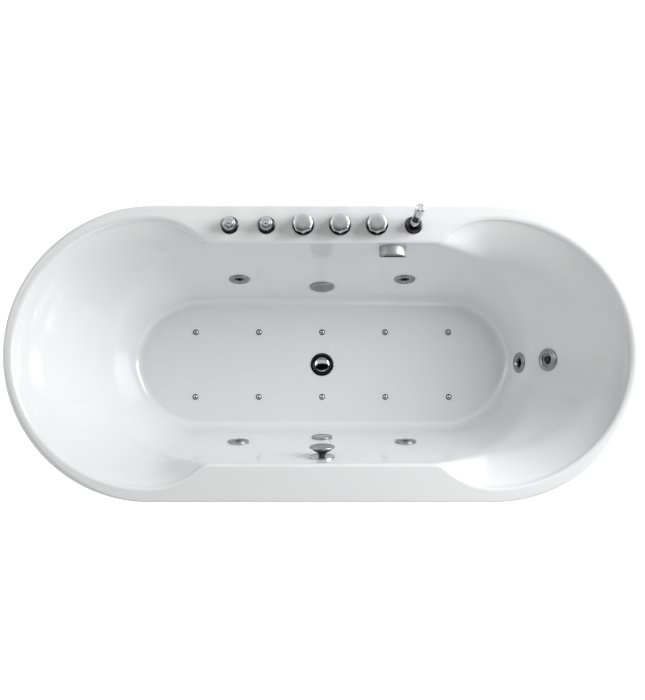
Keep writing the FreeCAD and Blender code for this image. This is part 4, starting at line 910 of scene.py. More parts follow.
    def on_slope(self, z: float) -> Place:
        """A place on the straight slope of the foot-end bowl.

        Args:
            z: its height.

        Returns:
            The place, facing into the bowl.
        """
        (upper, far, *_), (lower, near, *_) = self.rings[1], self.rings[4]
        drop = self.top - z
        reach = far - (drop - upper) * (far - near) / (lower - upper)
        return Place((self.bowl_x + reach, 0.0, z), (upper - lower, 0.0, far - near))


@dataclass
class Skirt:
    """The outer panel, tapering from under the rim to a turned-in foot."""

    top: float = 590.5
    bottom: float = 12.0
    top_half_length: float = 841.0
    top_half_width: float = 386.0
    base_half_length: float = 750.0
    base_half_width: float = 300.0
    flange: float = 17.0
    foot_round: float = 5.0
    wall: float = 5.0
    columns: int = 60
    straight_columns: int = 10
    rows: tuple[int, ...] = (2, 6, 30)

    def build(self) -> bpy.types.Object:
        """Bends one grid from the foot's flange round its corner and up to the rim."""
        form = Form("skirt_form", {
            "Columns": 4 * self.columns + 1, "Rows": sum(self.rows) + 1, "Top": self.top * MM,
            "Bottom": self.bottom * MM, "Top half length": self.top_half_length * MM,
            "Top half width": self.top_half_width * MM, "Base half length": self.base_half_length * MM,
            "Base half width": self.base_half_width * MM, "Flange": self.flange * MM,
            "Foot round": self.foot_round * MM})
        size = form.size
        mesh, across, down = form.grid(size("Columns"), size("Rows"))
        outline = Outline.of(across, self.straight_columns / self.columns)
        row = down * float(sum(self.rows))
        stops = [sum(self.rows[:i]) for i in range(len(self.rows) + 1)]
        flange, corner, wall = (row.share(float(first), float(last))
                                for first, last in zip(stops, stops[1:]))
        angle = corner * (math.pi / 2)
        bend = size("Foot round")
        inset = (1.0 - flange) * (size("Flange") - bend) + bend * (1.0 - angle.sine())
        level = size("Bottom") + bend * (1.0 - angle.cosine()) + wall * (
            size("Top") - size("Bottom") - bend)
        share = (level - size("Bottom")) / (size("Top") - size("Bottom"))
        length = size("Base half length").towards(size("Top half length"), share)
        width = size("Base half width").towards(size("Top half width"), share)
        x, y = outline.point((length - width) * outline.along, width - inset)
        piece = form.made("skirt_panel", form.joined(form.moved(mesh, x, y, level)),
                          COATS["acrylic_skirt"])
        wall_modifier = piece.modifiers.new("Wall", "SOLIDIFY")
        wall_modifier.thickness = self.wall * MM
        wall_modifier.offset = -1.0
        apply_modifiers(piece)
        return settle(crease(piece), TUB, "acrylic_skirt", "outer_skirt")


# ---------------------------------------------------------------------------------------------
# Deck row
# ---------------------------------------------------------------------------------------------
@dataclass
class DeckRow:
    """The fittings that stand in a row on the back deck."""

    row_y: float = 341.0
    first_x: float = -247.0
    pitch: float = 98.4
    deck: float = 600.0
    bores: tuple[float, ...] = (12.3, 12.3, 16.3, 16.3, 16.3, 17.3)

    def place(self, number: int, lift: float = 0.0) -> Place:
        """Where a fitting stands, counted from the head end."""
        return Place((self.first_x + self.pitch * number, self.row_y, self.deck + lift))


@dataclass
class Switch:
    """One push switch: a bell painted near-black as painted reflection, with a bright rim round a grooved
    button.
    """

    name: str
    place: Place
    body: str
    flange: float = 24.0
    neck: float = 19.0
    top: float = 15.5
    height: float = 36.0
    well: float = 11.85
    button: float = 11.45
    rise: float = 8.0
    button_low: float = 23.6

    def bell(self, shape: bmesh.types.BMesh) -> None:
        """Adds the bell's flange, neck and well, painted near-black as painted reflection."""
        turned(shape, [
            (12.0, -46.0), (12.0, 0.05), (self.flange - 0.6, 0.05),
            *bent((self.flange - 1.8, 1.9, 1.8, -60.0, 75.0)),
            (self.neck + 2.2, 4.3), *bent((self.neck + 1.7, 6.1, 1.7, 250.0, 185.0)),
            (self.neck, 9.0), (self.neck - 0.25, 19.5), *bent((self.neck - 1.3, 20.2, 1.2, 0.0, 55.0)),
            (self.top + 1.0, 30.6)], self.place)

    def rim(self, shape: bmesh.types.BMesh) -> None:
        """Adds the bright rim that the button rises through."""
        turned(shape, [
            (self.top + 0.9, 30.4), *bent((self.top + 0.9, 31.6, 1.2, -70.0, 40.0)),
            (self.top + 0.2, 34.4), *bent((self.top - 1.4, self.height - 1.5, 1.4, 20.0, 90.0)),
            *bent((self.well + 0.7, self.height - 0.8, 0.7, 90.0, 180.0)), (self.well, 18.0),
            (0.0, 18.0)], self.place)

    def press(self) -> bpy.types.Object:
        """Makes the button: a turned cap with two fine grooves and a raised middle."""
        high = self.height + self.rise
        groove = [(9.1, high), (8.8, high - 0.7), (8.0, high - 0.7), (7.7, high),
                  (5.4, high), (5.1, high - 0.6), (4.5, high - 0.6), (4.2, high), (2.6, high + 0.25)]
        piece = spun(self.name + "_cap", "button_cap", self.place, [
            (0.0, self.button_low), (self.button, self.button_low), (self.button, high - 1.6),
            *bent((self.button - 1.5, high - 1.5, 1.5, 0.0, 90.0)), *groove, (0.0, high + 0.3)], 48)
        return settle(piece, self.body, "button_cap", self.name + "_button")


@dataclass
class Knob:
    """One tap knob: a domed cap with petals that hang over a fluted body, painted near-black as painted
    reflection.
    """

    name: str
    place: Place
    body: str
    petals: int = 8
    reach: float = 27.0
    shoulder: float = 25.6
    cap_low: float = 32.0
    cap_high: float = 46.6
    tip: float = 16.0
    base: float = 29.8
    inner: float = 23.6
    notch: float = 3.0
    side_share: float = 0.62
    crown_rise: float = 5.0
    belly_turn: float = 0.62
    belly_start: float = 0.55
    wall: float = 1.2
    rows: int = 22
    columns: int = 96

    def cap(self) -> bpy.types.Object:
        """Bends a grid into the dome: each petal bulges, and its tip hangs lower than the notches."""
        form = Form(self.name + "_cap", {
            "Columns": self.columns + 1, "Rows": self.rows + 1, "Petals": self.petals,
            "Reach": self.reach * MM, "Shoulder": self.shoulder * MM, "Low": self.cap_low * MM,
            "High": self.cap_high * MM, "Tip": self.tip * MM, "Notch": self.notch * MM})
        size = form.size
        mesh, across, up = form.grid(size("Columns"), size("Rows"))
        angle = across * (2 * math.pi)
        wave = abs(((angle + math.pi / 2) * size("Petals") * 0.5).cosine())
        side = (up / self.side_share).least(1.0)
        crown = up.share(self.side_share, 1.0)
        foot = size("Low") + size("Notch") * 0.6 + size("Tip") * (0.45 - wave ** 4.0)
        rim = size("High") - self.crown_rise * MM
        round_over = (crown * (math.pi / 2)).sine()
        level = foot.towards(rim, side) + (1.0 - (1.0 - round_over) ** 2.0) * (self.crown_rise * MM)
        belly = (side * math.pi * self.belly_turn + self.belly_start).sine()
        outside = size("Shoulder").towards(size("Reach"), belly) - size("Notch") * (
            (1.0 - wave ** 0.42) * (1.0 - up.least(0.9) / 0.9) ** 0.7)
        radius = outside * (1.0 - crown ** 1.6)
        spot = Vector(self.place.at) * MM
        shaped = form.joined(form.moved(mesh, angle.cosine() * radius + spot.x,
                                        angle.sine() * radius + spot.y, level + spot.z))
        piece = form.made(self.name + "_cap", shaped, COATS["knob_chrome"])
        wall = piece.modifiers.new("Wall", "SOLIDIFY")
        wall.thickness = self.wall * MM
        wall.offset = -1.0
        apply_modifiers(piece)
        return settle(crease(piece, 50.0), self.body, "knob_chrome", self.name + "_knob")

    def core(self) -> bpy.types.Object:
        """Makes the body under the cap, with ribs set round it, and its spindle, all painted near-black as
        painted reflection.
        """
        base = bmesh.new()
        turned(base, [(0.0, -49.0), (5.95, -49.0), (5.95, 9.2), (self.base - 1.0, 9.2),
                      *bent((self.base - 1.2, 10.6, 1.2, -80.0, 0.0)), (self.base - 0.2, 17.0),
                      *bent((self.base - 2.2, 18.0, 1.9, 0.0, 80.0)), (self.inner, 20.6),
                      (self.inner, 36.0), (self.inner - 4.0, 40.0), (0.0, 40.0)], self.place)
        # Body and ribs take the near-black dark_chrome finish: painted reflection of dark surroundings.
        body = crease(from_bmesh(self.name + "_body", base, "dark_chrome"))
        rib = bmesh.new()
        bmesh.ops.create_cube(rib, size=1.0, matrix=Matrix.Diagonal(Vector((1.6, 2.2, 6.0)) * MM).to_4x4())
        bmesh.ops.translate(rib, verts=rib.verts, vec=Vector((0, 0, 13.6)) * MM)
        bmesh.ops.bevel(rib, geom=rib.edges, offset=0.5 * MM, segments=2, affect="EDGES")
        source = from_bmesh(self.name + "_rib", rib, "dark_chrome")
        form = Form(self.name + "_ribs", {"Count": self.petals * 3, "Radius": (self.base - 0.5) * MM})
        ribs = form.ring(Value(form, form.start.outputs[0]), form.size("Count"), form.size("Radius"))
        spot = form.value("GeometryNodeTransform", None,
                          {"Geometry": ribs, "Translation": Vector(self.place.at) * MM})
        piece = form.made(self.name + "_ribs", spot, COATS["dark_chrome"], source)
        settle(crease(piece), self.body, "dark_chrome")
        return settle(body, self.body, "dark_chrome")


@dataclass
class HandShower:
    """The hand shower: a slim stick in a collar on the deck, painted near-black as painted reflection."""

    place: Place
    lean: tuple[float, float, float]
    collar: float = 24.0
    collar_height: float = 26.0
    stick: float = 11.0
    head: float = 13.0
    head_from: float = 110.0
    length: float = 156.0
    socket: float = 30.0

    def stand(self) -> bpy.types.Object:
        """Makes the deck collar with its sloped mouth."""
        high = self.collar_height
        # The collar takes the near-black dark_chrome finish, not chrome: painted reflection of dark
        # surroundings.
        piece = spun("shower_stand", "dark_chrome", self.place, [
            (17.0, -40.0), (17.0, 0.05), (self.collar - 1.0, 0.05),
            *bent((self.collar - 1.6, 1.7, 1.6, -70.0, 80.0)), (self.collar - 2.6, 4.2),
            *bent((self.collar - 2.0, 6.4, 1.8, 250.0, 185.0)), (self.collar - 4.1, high - 5.0),
            *bent((self.collar - 7.1, high - 3.4, 3.2, 0.0, 90.0)), (13.9, high - 0.2),
            *bent((13.7, high - 1.2, 0.9, 90.0, 180.0)), (12.8, -39.0)], loop=True)
        return settle(piece, TUB, "chrome", "shower_holder")

    def stick_piece(self) -> bpy.types.Object:
        """Makes the stick, its neck ring and its rounded head."""
        foot = Place((self.place.at[0], self.place.at[1], self.place.at[2] + self.collar_height), self.lean)
        piece = spun("shower_stick", "handset_shell", foot, [
            (0.0, -self.socket), (self.stick - 1.2, -self.socket),
            *bent((self.stick - 1.2, 1.2 - self.socket, 1.2, -90.0, 0.0)), (self.stick, 40.0),
            (self.stick - 0.6, 41.0), (self.stick - 0.6, 43.0), (self.stick, 44.0),
            (self.stick - 0.4, self.head_from - 6.0), (self.stick + 0.4, self.head_from - 1.0),
            *bent((self.head - 1.0, self.head_from + 0.6, 1.0, -60.0, 0.0), steps=3),
            (self.head, self.length - 8.0), *bent((self.head - 4.0, self.length - 4.0, 4.0, 0.0, 90.0)),
            (7.6, self.length), (7.2, self.length - 0.8), (0.0, self.length - 0.8)])
        return settle(piece, "handset", "handset_shell", "hand_shower")


@dataclass
class ShowerHose:
    """The ribbed hose that hangs in a loop under the deck, from the diverter valve to the hand shower."""

    route: tuple[tuple[float, float, float], ...] = (
        (146.6, 341.0, 526.0), (146.6, 341.0, 400.0), (237.15, 321.39, 400.99), (243.96, 338.4, 596.13))
    radius: float = 7.0
    rib: float = 0.7
    ribs: int = 110
    rings_per_rib: int = 4
    sides: int = 16
    length: float = 0.362

    def line(self) -> list[Vector]:
        """The hose's own line, as points in metres.

        Returns:
            Points that follow the route's spline, without a bevel.
        """
        curve = bpy.data.curves.new("hose_line", "CURVE")
        curve.dimensions = "3D"
        curve.resolution_u = 48
        spline = curve.splines.new("NURBS")
        spline.points.add(len(self.route) - 1)
        for knot, point in zip(spline.points, self.route):
            knot.co = (*(Vector(point) * MM), 1.0)
        spline.order_u = 3
        spline.use_endpoint_u = True
        holder = bpy.data.objects.new("hose_line", curve)
        bpy.context.scene.collection.objects.link(holder)
        plain = bpy.data.meshes.new_from_object(
            holder.evaluated_get(bpy.context.evaluated_depsgraph_get()))
        points = [vertex.co.copy() for vertex in plain.vertices]
        bpy.data.objects.remove(holder)
        bpy.data.meshes.remove(plain)
        return points

    def build(self) -> bpy.types.Object:
        """Sweeps a ribbed ring along the line."""
        line = self.line()
        steps = [0.0]
        for before, after in zip(line, line[1:]):
            steps.append(steps[-1] + (after - before).length)
        count = self.ribs * self.rings_per_rib
        rings = []
        place = 0
        side = Vector((0, 1, 0))
        for number in range(count + 1):
            reach = steps[-1] * number / count
            while place < len(line) - 2 and steps[place + 1] < reach:
                place += 1
            share = (reach - steps[place]) / (steps[place + 1] - steps[place])
            at = line[place].lerp(line[place + 1], share)
            along = (line[place + 1] - line[place]).normalized()
            side = (side - along * side.dot(along)).normalized()
            other = along.cross(side)
            size = (self.radius - (self.rib if number % self.rings_per_rib in (0, 1) else 0.0)) * MM
            rings.append([tuple((at + (side * math.cos(2 * math.pi * i / self.sides)
                                       + other * math.sin(2 * math.pi * i / self.sides)) * size) / MM)
                          for i in range(self.sides)])
        rings = [[tuple(line[0] / MM)], *rings, [tuple(line[-1] / MM)]]
        shape = bmesh.new()
        loft(shape, rings, Place((0.0, 0.0, 0.0)))
        piece = from_bmesh("shower_hose_ribbed", shape, "hose_chrome")
        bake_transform(piece)
        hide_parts("shower_hose")
        2 * self.radius * MM
        return piece


# ---------------------------------------------------------------------------------------------
# Spout, jets and wall fittings
# ---------------------------------------------------------------------------------------------
@dataclass
class Spout:
    """The waterfall spout: a broad D-shaped block with a wide slot in its mouth."""

    place: Place
    half: float = 36.0
    low: float = -12.0
    side: float = -5.0
    high: float = 12.0
    reach: float = 29.0
    edge: float = 3.0
    slot_half: float = 25.0
    slot_low: float = -7.2
    slot_high: float = -1.2
    slot_floor: float = 8.0
    slot_over: float = 4.0
    corner: float = 4.0
    lip_inset: float = 3.6
    mouth_inset: float = 4.0
    mouth_depth: float = 1.2
    pipe: float = 9.95
    tail: float = 30.0
    wall_bore: float = 10.3

    def outline(self, inset: float, height: float) -> list[tuple[float, float, float]]:
        """The D's outline at a height, drawn in by an inset, anticlockwise from its lower left corner.

        Args:
            inset: how far it is drawn in.
            height: how far it stands off the wall.

        Returns:
            Its points, in the spout's own frame.
        """
        rise = self.high - self.side
        arch = (self.half ** 2 + rise ** 2) / (2 * rise)
        centre = self.high - arch
        half = self.half - inset
        corner = max(self.corner - inset, 0.8)
        points = []
        for across, first in ((-1, 180), (1, 270)):
            for i in range(7):
                angle = math.radians(first + 15 * i)
                points.append((across * (half - corner) + corner * math.cos(angle),
                               self.low + inset + corner + corner * math.sin(angle)))
        shoulder = math.acos(half / (arch - inset))
        for i in range(33):
            angle = shoulder + (math.pi - 2 * shoulder) * i / 32
            points.append(((arch - inset) * math.cos(angle), centre + (arch - inset) * math.sin(angle)))
        return [(x, y, height) for x, y in points]

    def build(self) -> bpy.types.Object:
        """Makes the block with its lip, slot and pipe."""
        shape = bmesh.new()
        face = self.reach - self.mouth_depth
        rings = [[(0.0, 0.0, 0.1)], self.outline(0.0, 0.1)]
        rings += [self.outline(self.edge - across, height) for across, height in
                  bent((0.0, self.reach - self.edge, self.edge, 0.0, 90.0))]
        rings += [self.outline(self.lip_inset, self.reach), self.outline(self.mouth_inset, face),
                  [(0.0, 0.0, face)]]
        loft(shape, rings, self.place)
        piece = from_bmesh("spout_block", shape, "spout_metal")
        slot = bmesh.new()
        end = self.reach + self.slot_over
        middle = Vector((0.0, (self.slot_low + self.slot_high) / 2, (self.slot_floor + end) / 2)) * MM
        size = Vector((2 * self.slot_half, self.slot_high - self.slot_low, end - self.slot_floor)) * MM
        bmesh.ops.create_cube(slot, size=1.0, matrix=self.place.matrix() @ Matrix.Translation(middle)
                              @ Matrix.Diagonal(size).to_4x4())
        carve(piece, slot)
        tail = spun("spout_tail", "chrome", self.place, [
            (0.0, -self.tail), (self.pipe, -self.tail), (self.pipe, 0.0), (0.0, 0.0)], 32)
        settle(tail, TUB, "chrome")
        return settle(crease(piece), TUB, "chrome", "waterfall_spout")


@dataclass
class Jet:
    """One water jet: a grooved ring on the wall and a ball nozzle that swivels in it."""

    name: str
    place: Place
    ring: float = 30.0
    thick: float = 5.0
    mouth: float = 13.2
    ball: float = 14.9
    sunk: float = 8.25
    flat: float = 10.8
    bore: float = 6.0
    wall_bore: float = 19.3

    def face(self, shape: bmesh.types.BMesh) -> None:
        """Adds the ring: a rounded rim, two fine grooves and a funnel to the ball."""
        high = self.thick
        turned(shape, [
            (self.mouth, 0.1), (self.ring - 0.9, 0.1), *bent((self.ring - 1.7, 1.8, 1.7, -50.0, 20.0)),
            *bent((self.ring - 3.0, high - 3.0, 3.0, 10.0, 90.0)), (24.6, high), (24.3, high - 0.8),
            (23.2, high - 0.8), (22.9, high), (19.6, high), (19.3, high - 0.7), (18.4, high - 0.7),
            (18.1, high - 0.1), (self.mouth + 0.5, 1.6), (self.mouth, 1.2)], self.place, loop=True)

    def nozzle(self) -> bpy.types.Object:
        """Makes the ball with its flared bore."""
        across = math.degrees(math.asin(self.flat / self.ball))
        low, high = -self.flat - self.sunk, self.flat - self.sunk
        piece = spun(self.name + "_ball", "dark_chrome", self.place, [
            (self.bore, low), *bent((0.0, -self.sunk, self.ball, -across, across), steps=18),
            (9.8, high), (9.2, high - 0.5), (self.bore, high - 5.0)], 48, loop=True)
        return settle(piece, self.name + "_ball", "dark_chrome", self.name + "_nozzle")


@dataclass
class TurningJet:
    """The large jet at the foot end, whose insert turns with the water."""

    place: Place
    ring: float = 32.0
    thick: float = 8.0
    mouth: float = 19.3
    rotor: float = 18.95
    rotor_low: float = -23.25
    rotor_high: float = 5.0
    recess: float = 14.0
    recess_floor: float = 2.0
    core_radius: float = 12.6
    hub: float = 5.0
    port: float = 3.2
    port_reach: float = 9.5
    slant: float = 10.0
    wall_bore: float = 23.3

    def face(self) -> bpy.types.Object:
        """Makes the ring with its stepped, polished rim."""
        high = self.thick
        piece = spun("turning_jet_ring", "jet_metal", self.place, [
            (self.mouth, 0.1), (self.ring - 0.9, 0.1), *bent((self.ring - 1.7, 1.8, 1.7, -50.0, 20.0)),
            *bent((self.ring - 3.4, high - 3.4, 3.4, 5.0, 90.0)), (26.4, high), (25.8, high - 0.9),
            *bent((22.8, high - 2.6, 2.4, 30.0, 90.0)), (self.mouth + 1.0, high - 0.4),
            (self.mouth, high - 1.2)], loop=True)
        return settle(piece, TUB, "chrome")

    def insert(self) -> bpy.types.Object:
        """Makes the turning insert with its hub and slanted ports."""
        shape = bmesh.new()
        high, deep = self.rotor_high, self.recess_floor
        turned(shape, [
            (0.0, self.rotor_low), (self.rotor, self.rotor_low), *bent((self.rotor - 2.0, high - 2.0, 2.0,
                                                                       0.0, 90.0)),
            (self.recess + 0.8, high), (self.recess, high - 0.8), (self.recess, deep + 0.6),
            (self.recess - 0.6, deep), (self.hub + 0.7, deep), (self.hub, deep + 0.7),
            *bent((self.hub - 2.0, high - 1.0, 2.0, 0.0, 90.0)), (0.0, high + 1.2)], self.place)
        piece = from_bmesh("turning_jet_insert", shape, "jet_metal")
        pierce(piece, self.ports())
        return settle(crease(piece), "jet_rotor", "chrome", "turning_jet_rotor")

    def core(self) -> bpy.types.Object:
        """Makes the dark disc round the hub, on the insert's floor."""
        shape = bmesh.new()
        deep = self.recess_floor
        turned(shape, [
            (0.0, deep - 1.0), (self.core_radius, deep - 1.0), (self.core_radius, deep + 0.5),
            (self.core_radius - 0.4, deep + 0.9), (self.hub + 1.1, deep + 0.9), (self.hub + 0.4, deep + 1.6),
            *bent((self.hub - 1.7, self.rotor_high - 0.7, 2.1, 0.0, 90.0)), (0.0, self.rotor_high + 1.5)],
               self.place)
        piece = from_bmesh("turning_jet_core", shape, "dark_chrome")
        pierce(piece, self.ports())
        return settle(crease(piece), "jet_rotor", "chrome")

    def ports(self) -> list[tuple[Place, float, float]]:
        """The three slanted ports, as holes to bore."""
        matrix = self.place.matrix().to_3x3()
        slant = math.radians(self.slant)
        ports = []
        for i in range(3):
            turn = 2 * math.pi * i / 3
            out = Vector((math.cos(turn), math.sin(turn), 0.0))
            aside = Vector((math.sin(turn), -math.cos(turn), 0.0))
            at = Vector(self.place.at) + matrix @ (out * self.port_reach)
            facing = matrix @ (Vector((0, 0, math.cos(slant))) + aside * math.sin(slant))
            ports.append((Place(tuple(at), tuple(facing)), self.port, 40.0))
        return ports


@dataclass
class SuctionCover:
    """The suction cover: a low dome bored with three rings of round holes."""

    place: Place
    radius: float = 35.9
    thick: float = 9.0
    hole: float = 1.6
    wall_bore: float = 19.3
    rows: tuple[tuple[float, int], ...] = ((10.8, 6), (19.8, 12), (25.9, 18))

    def _holes(self) -> bmesh.types.BMesh:
        """The bores, set out in rings by a node tree."""
        bore = bmesh.new()
        turned(bore, [(0.0, 4.2), (self.hole, 4.2), (self.hole, 14.0), (0.0, 14.0)], Place((0, 0, 0)), 16)
        source = from_bmesh("suction_bore", bore, "dark_chrome")
        form = Form("suction_holes", {f"Count {i}": count for i, (_, count) in enumerate(self.rows)}
                    | {f"Reach {i}": reach * MM for i, (reach, _) in enumerate(self.rows)})
        piece = Value(form, form.start.outputs[0])
        rings = [form.ring(piece, form.size(f"Count {i}"), form.size(f"Reach {i}"))
                 for i in range(len(self.rows))]
        joined = form.node("GeometryNodeJoinGeometry")
        for ring in rings:
            form.tree.links.new(ring.socket, joined.inputs[0])
        holes = form.made("suction_holes", Value(form, joined.outputs[0]), COATS["dark_chrome"], source)
        shape = bmesh.new()
        shape.from_mesh(holes.data)
        shape.transform(self.place.matrix())
        bpy.data.objects.remove(holes)
        return shape

    def build(self) -> bpy.types.Object:
        """Makes the cover with its rim, dome, screw boss and holes."""
        shape = bmesh.new()
        high = self.thick
        turned(shape, [
            (0.0, 0.1), (self.radius - 0.6, 0.1), *bent((self.radius - 1.0, 1.2, 1.0, -60.0, 0.0)),
            *bent((self.radius - 1.6, 2.6, 1.6, 0.0, 60.0)), (33.2, 4.6), (32.6, 4.4), (31.9, 5.2),
            *bent((24.8, high - 3.4, 3.0, 40.0, 80.0)), (14.0, high - 0.1), (6.4, high), (6.0, high - 0.7),
            (5.2, high - 0.7), (4.8, high), (2.2, high), (1.9, high - 0.9), (0.0, high - 0.9)], self.place)
        piece = from_bmesh("suction_dome", shape, "jet_metal")
        carve(piece, self._holes())
        return settle(crease(piece), TUB, "satin_metal", "suction_cover")


@dataclass
class Lamp:
    """The underwater light: a frosted lens with fine rings in a slim bezel."""

    place: Place
    radius: float = 29.9
    thick: float = 5.0
    bezel: float = 25.4
    wall_bore: float = 19.3

    def build(self) -> bpy.types.Object:
        """Makes the bezel and the lens inside it."""
        rim, glass = bmesh.new(), bmesh.new()
        high = self.thick
        turned(rim, [
            (self.bezel, 0.1), (self.radius - 0.8, 0.1), *bent((self.radius - 1.6, 1.7, 1.6, -50.0, 20.0)),
            *bent((self.radius - 3.0, high - 3.0, 3.0, 10.0, 90.0)), (self.bezel + 0.6, high),
            (self.bezel, high - 0.6)], self.place, loop=True)
        rings = []
        for i in range(7):
            outer = self.bezel - 0.4 - 3.2 * i
            rings += [(outer, high - 1.6), (outer - 0.5, high - 1.0), (outer - 2.6, high - 1.0)]
        turned(glass, [(0.0, 0.1), (self.bezel - 0.3, 0.1), (self.bezel - 0.3, high - 2.0), *rings,
                       (0.0, high - 0.9)], self.place)
        settle(crease(from_bmesh("light_bezel", rim, "jet_metal")), TUB, "lens")
        return settle(crease(from_bmesh("light_glass", glass, "lens")), TUB, "lens", "light_lens")


# ---------------------------------------------------------------------------------------------
# Floor injectors, drain and overflow
# ---------------------------------------------------------------------------------------------
@dataclass
class Injectors:
    """The air injectors: two rows of small domes on seats painted near-black, as painted reflection and
    painted shade under each dome.
    """

    floor: float = 180.0
    columns: int = 5
    pitch: float = 187.0
    row: float = 96.0
    stem: float = 4.95
    stem_low: float = -30.0
    cap: float = 8.5
    high: float = 5.0
    wall_bore: float = 5.3

    def _spread(self, name: str, shape: bmesh.types.BMesh, coat: str) -> bpy.types.Object:
        """Sets copies of one form out in the two rows.

        Args:
            name: the piece's name, less its last s.
            shape: the form to repeat.
            coat: the finish's name.

        Returns:
            All the copies as one piece.
        """
        source = from_bmesh(name, shape, coat)
        form = Form(name + "_rows", {"Columns": self.columns, "Rows": 2,
                                     "Length": self.pitch * (self.columns - 1) * MM,
                                     "Spread": 2 * self.row * MM, "Floor": self.floor * MM})
        points = form.value("GeometryNodeMeshGrid", None, {
            "Size X": form.size("Length"), "Size Y": form.size("Spread"),
            "Vertices X": form.size("Columns"), "Vertices Y": form.size("Rows")})
        copies = form.value("GeometryNodeInstanceOnPoints", None, {
            "Points": points, "Instance": form.start.outputs[0]})
        whole = form.value("GeometryNodeRealizeInstances", None, {"Geometry": copies})
        split = form.node("ShaderNodeSeparateXYZ", None,
                          {0: form.node("GeometryNodeInputPosition").outputs[0]})
        x, y, z = (Value(form, output) for output in split.outputs)
        return form.made(name + "s", form.moved(whole, x, y, z + form.size("Floor")), COATS[coat], source)

    def build(self) -> None:
        """Makes the seats with their stems, and the domes."""
        seat, dome = bmesh.new(), bmesh.new()
        origin = Place((0.0, 0.0, 0.0))
        turned(seat, [
            (0.0, self.stem_low), (self.stem, self.stem_low), (self.stem, 0.08), (self.cap - 0.5, 0.08),
            *bent((self.cap - 0.8, 0.9, 0.8, -70.0, 90.0)), (self.cap - 1.3, 1.5), (self.cap - 1.7, 1.0),
            (0.0, 1.0)], origin, 32)
        turned(dome, [
            (0.0, 0.9), (self.cap - 2.1, 0.9), *bent((self.cap - 3.4, 2.2, 1.3, -40.0, 50.0)),
            (3.6, 4.3), (2.0, self.high - 0.2), (0.0, self.high)], origin, 32)
        # The seats take the near-black dark_chrome finish, not chrome: painted reflection and painted shade
        # under each dome.
        settle(crease(self._spread("injector_seat", seat, "dark_chrome")), TUB, "chrome", "air_injectors")
        settle(crease(self._spread("injector_dome", dome, "chrome"), 60.0), TUB, "chrome")


@dataclass
class Drain:
    """The pop-up drain: a flange painted near-black as painted reflection, round a bright domed plug on its
    stem.
    """

    place: Place
    flange: float = 34.0
    thick: float = 3.0
    body: float = 28.95
    bore: float = 25.0
    seat: float = 18.0
    seat_low: float = -8.0
    body_low: float = -45.0
    plug: float = 22.0
    plug_low: float = -3.0
    stem: float = 3.98
    stem_low: float = -101.9
    wall_bore: float = 29.3

    def ring(self) -> bpy.types.Object:
        """Makes the flange and the plain round body below it."""
        high = self.thick
        # The flange takes the near-black dark_chrome finish, not chrome: painted reflection of dark
        # surroundings.
        piece = spun("drain_ring", "dark_chrome", self.place, [
            (self.seat, self.body_low), (self.body, self.body_low), (self.body, 0.1),
            (self.flange - 0.8, 0.1), *bent((self.flange - 1.0, 1.1, 1.0, -60.0, 20.0)),
            *bent((self.flange - 2.4, high - 2.2, 2.2, 10.0, 90.0)), (self.bore + 2.6, high),
            *bent((self.bore + 2.4, high - 2.4, 2.4, 90.0, 180.0)), (self.bore, self.seat_low),
            (self.seat, self.seat_low)], loop=True)
        return settle(piece, TUB, "chrome", "drain_flange")

    def stopper(self) -> bpy.types.Object:
        """Makes the plug's dome, its rolled edge and its stem."""
        piece = spun("plug_dome", "chrome", self.place, [
            (0.0, self.stem_low), (self.stem, self.stem_low), (self.stem, self.plug_low),
            (self.plug - 1.0, self.plug_low), *bent((self.plug - 1.4, self.plug_low + 1.4, 1.4, -90.0, 0.0)),
            *bent((self.plug - 2.4, 0.4, 2.4, 5.0, 62.0)), (17.2, 3.6), (13.0, 5.0), (8.0, 6.0),
            (4.0, 6.4), (0.0, 6.5)], degrees=50.0)
        return settle(piece, "plug", "chrome", "drain_plug")


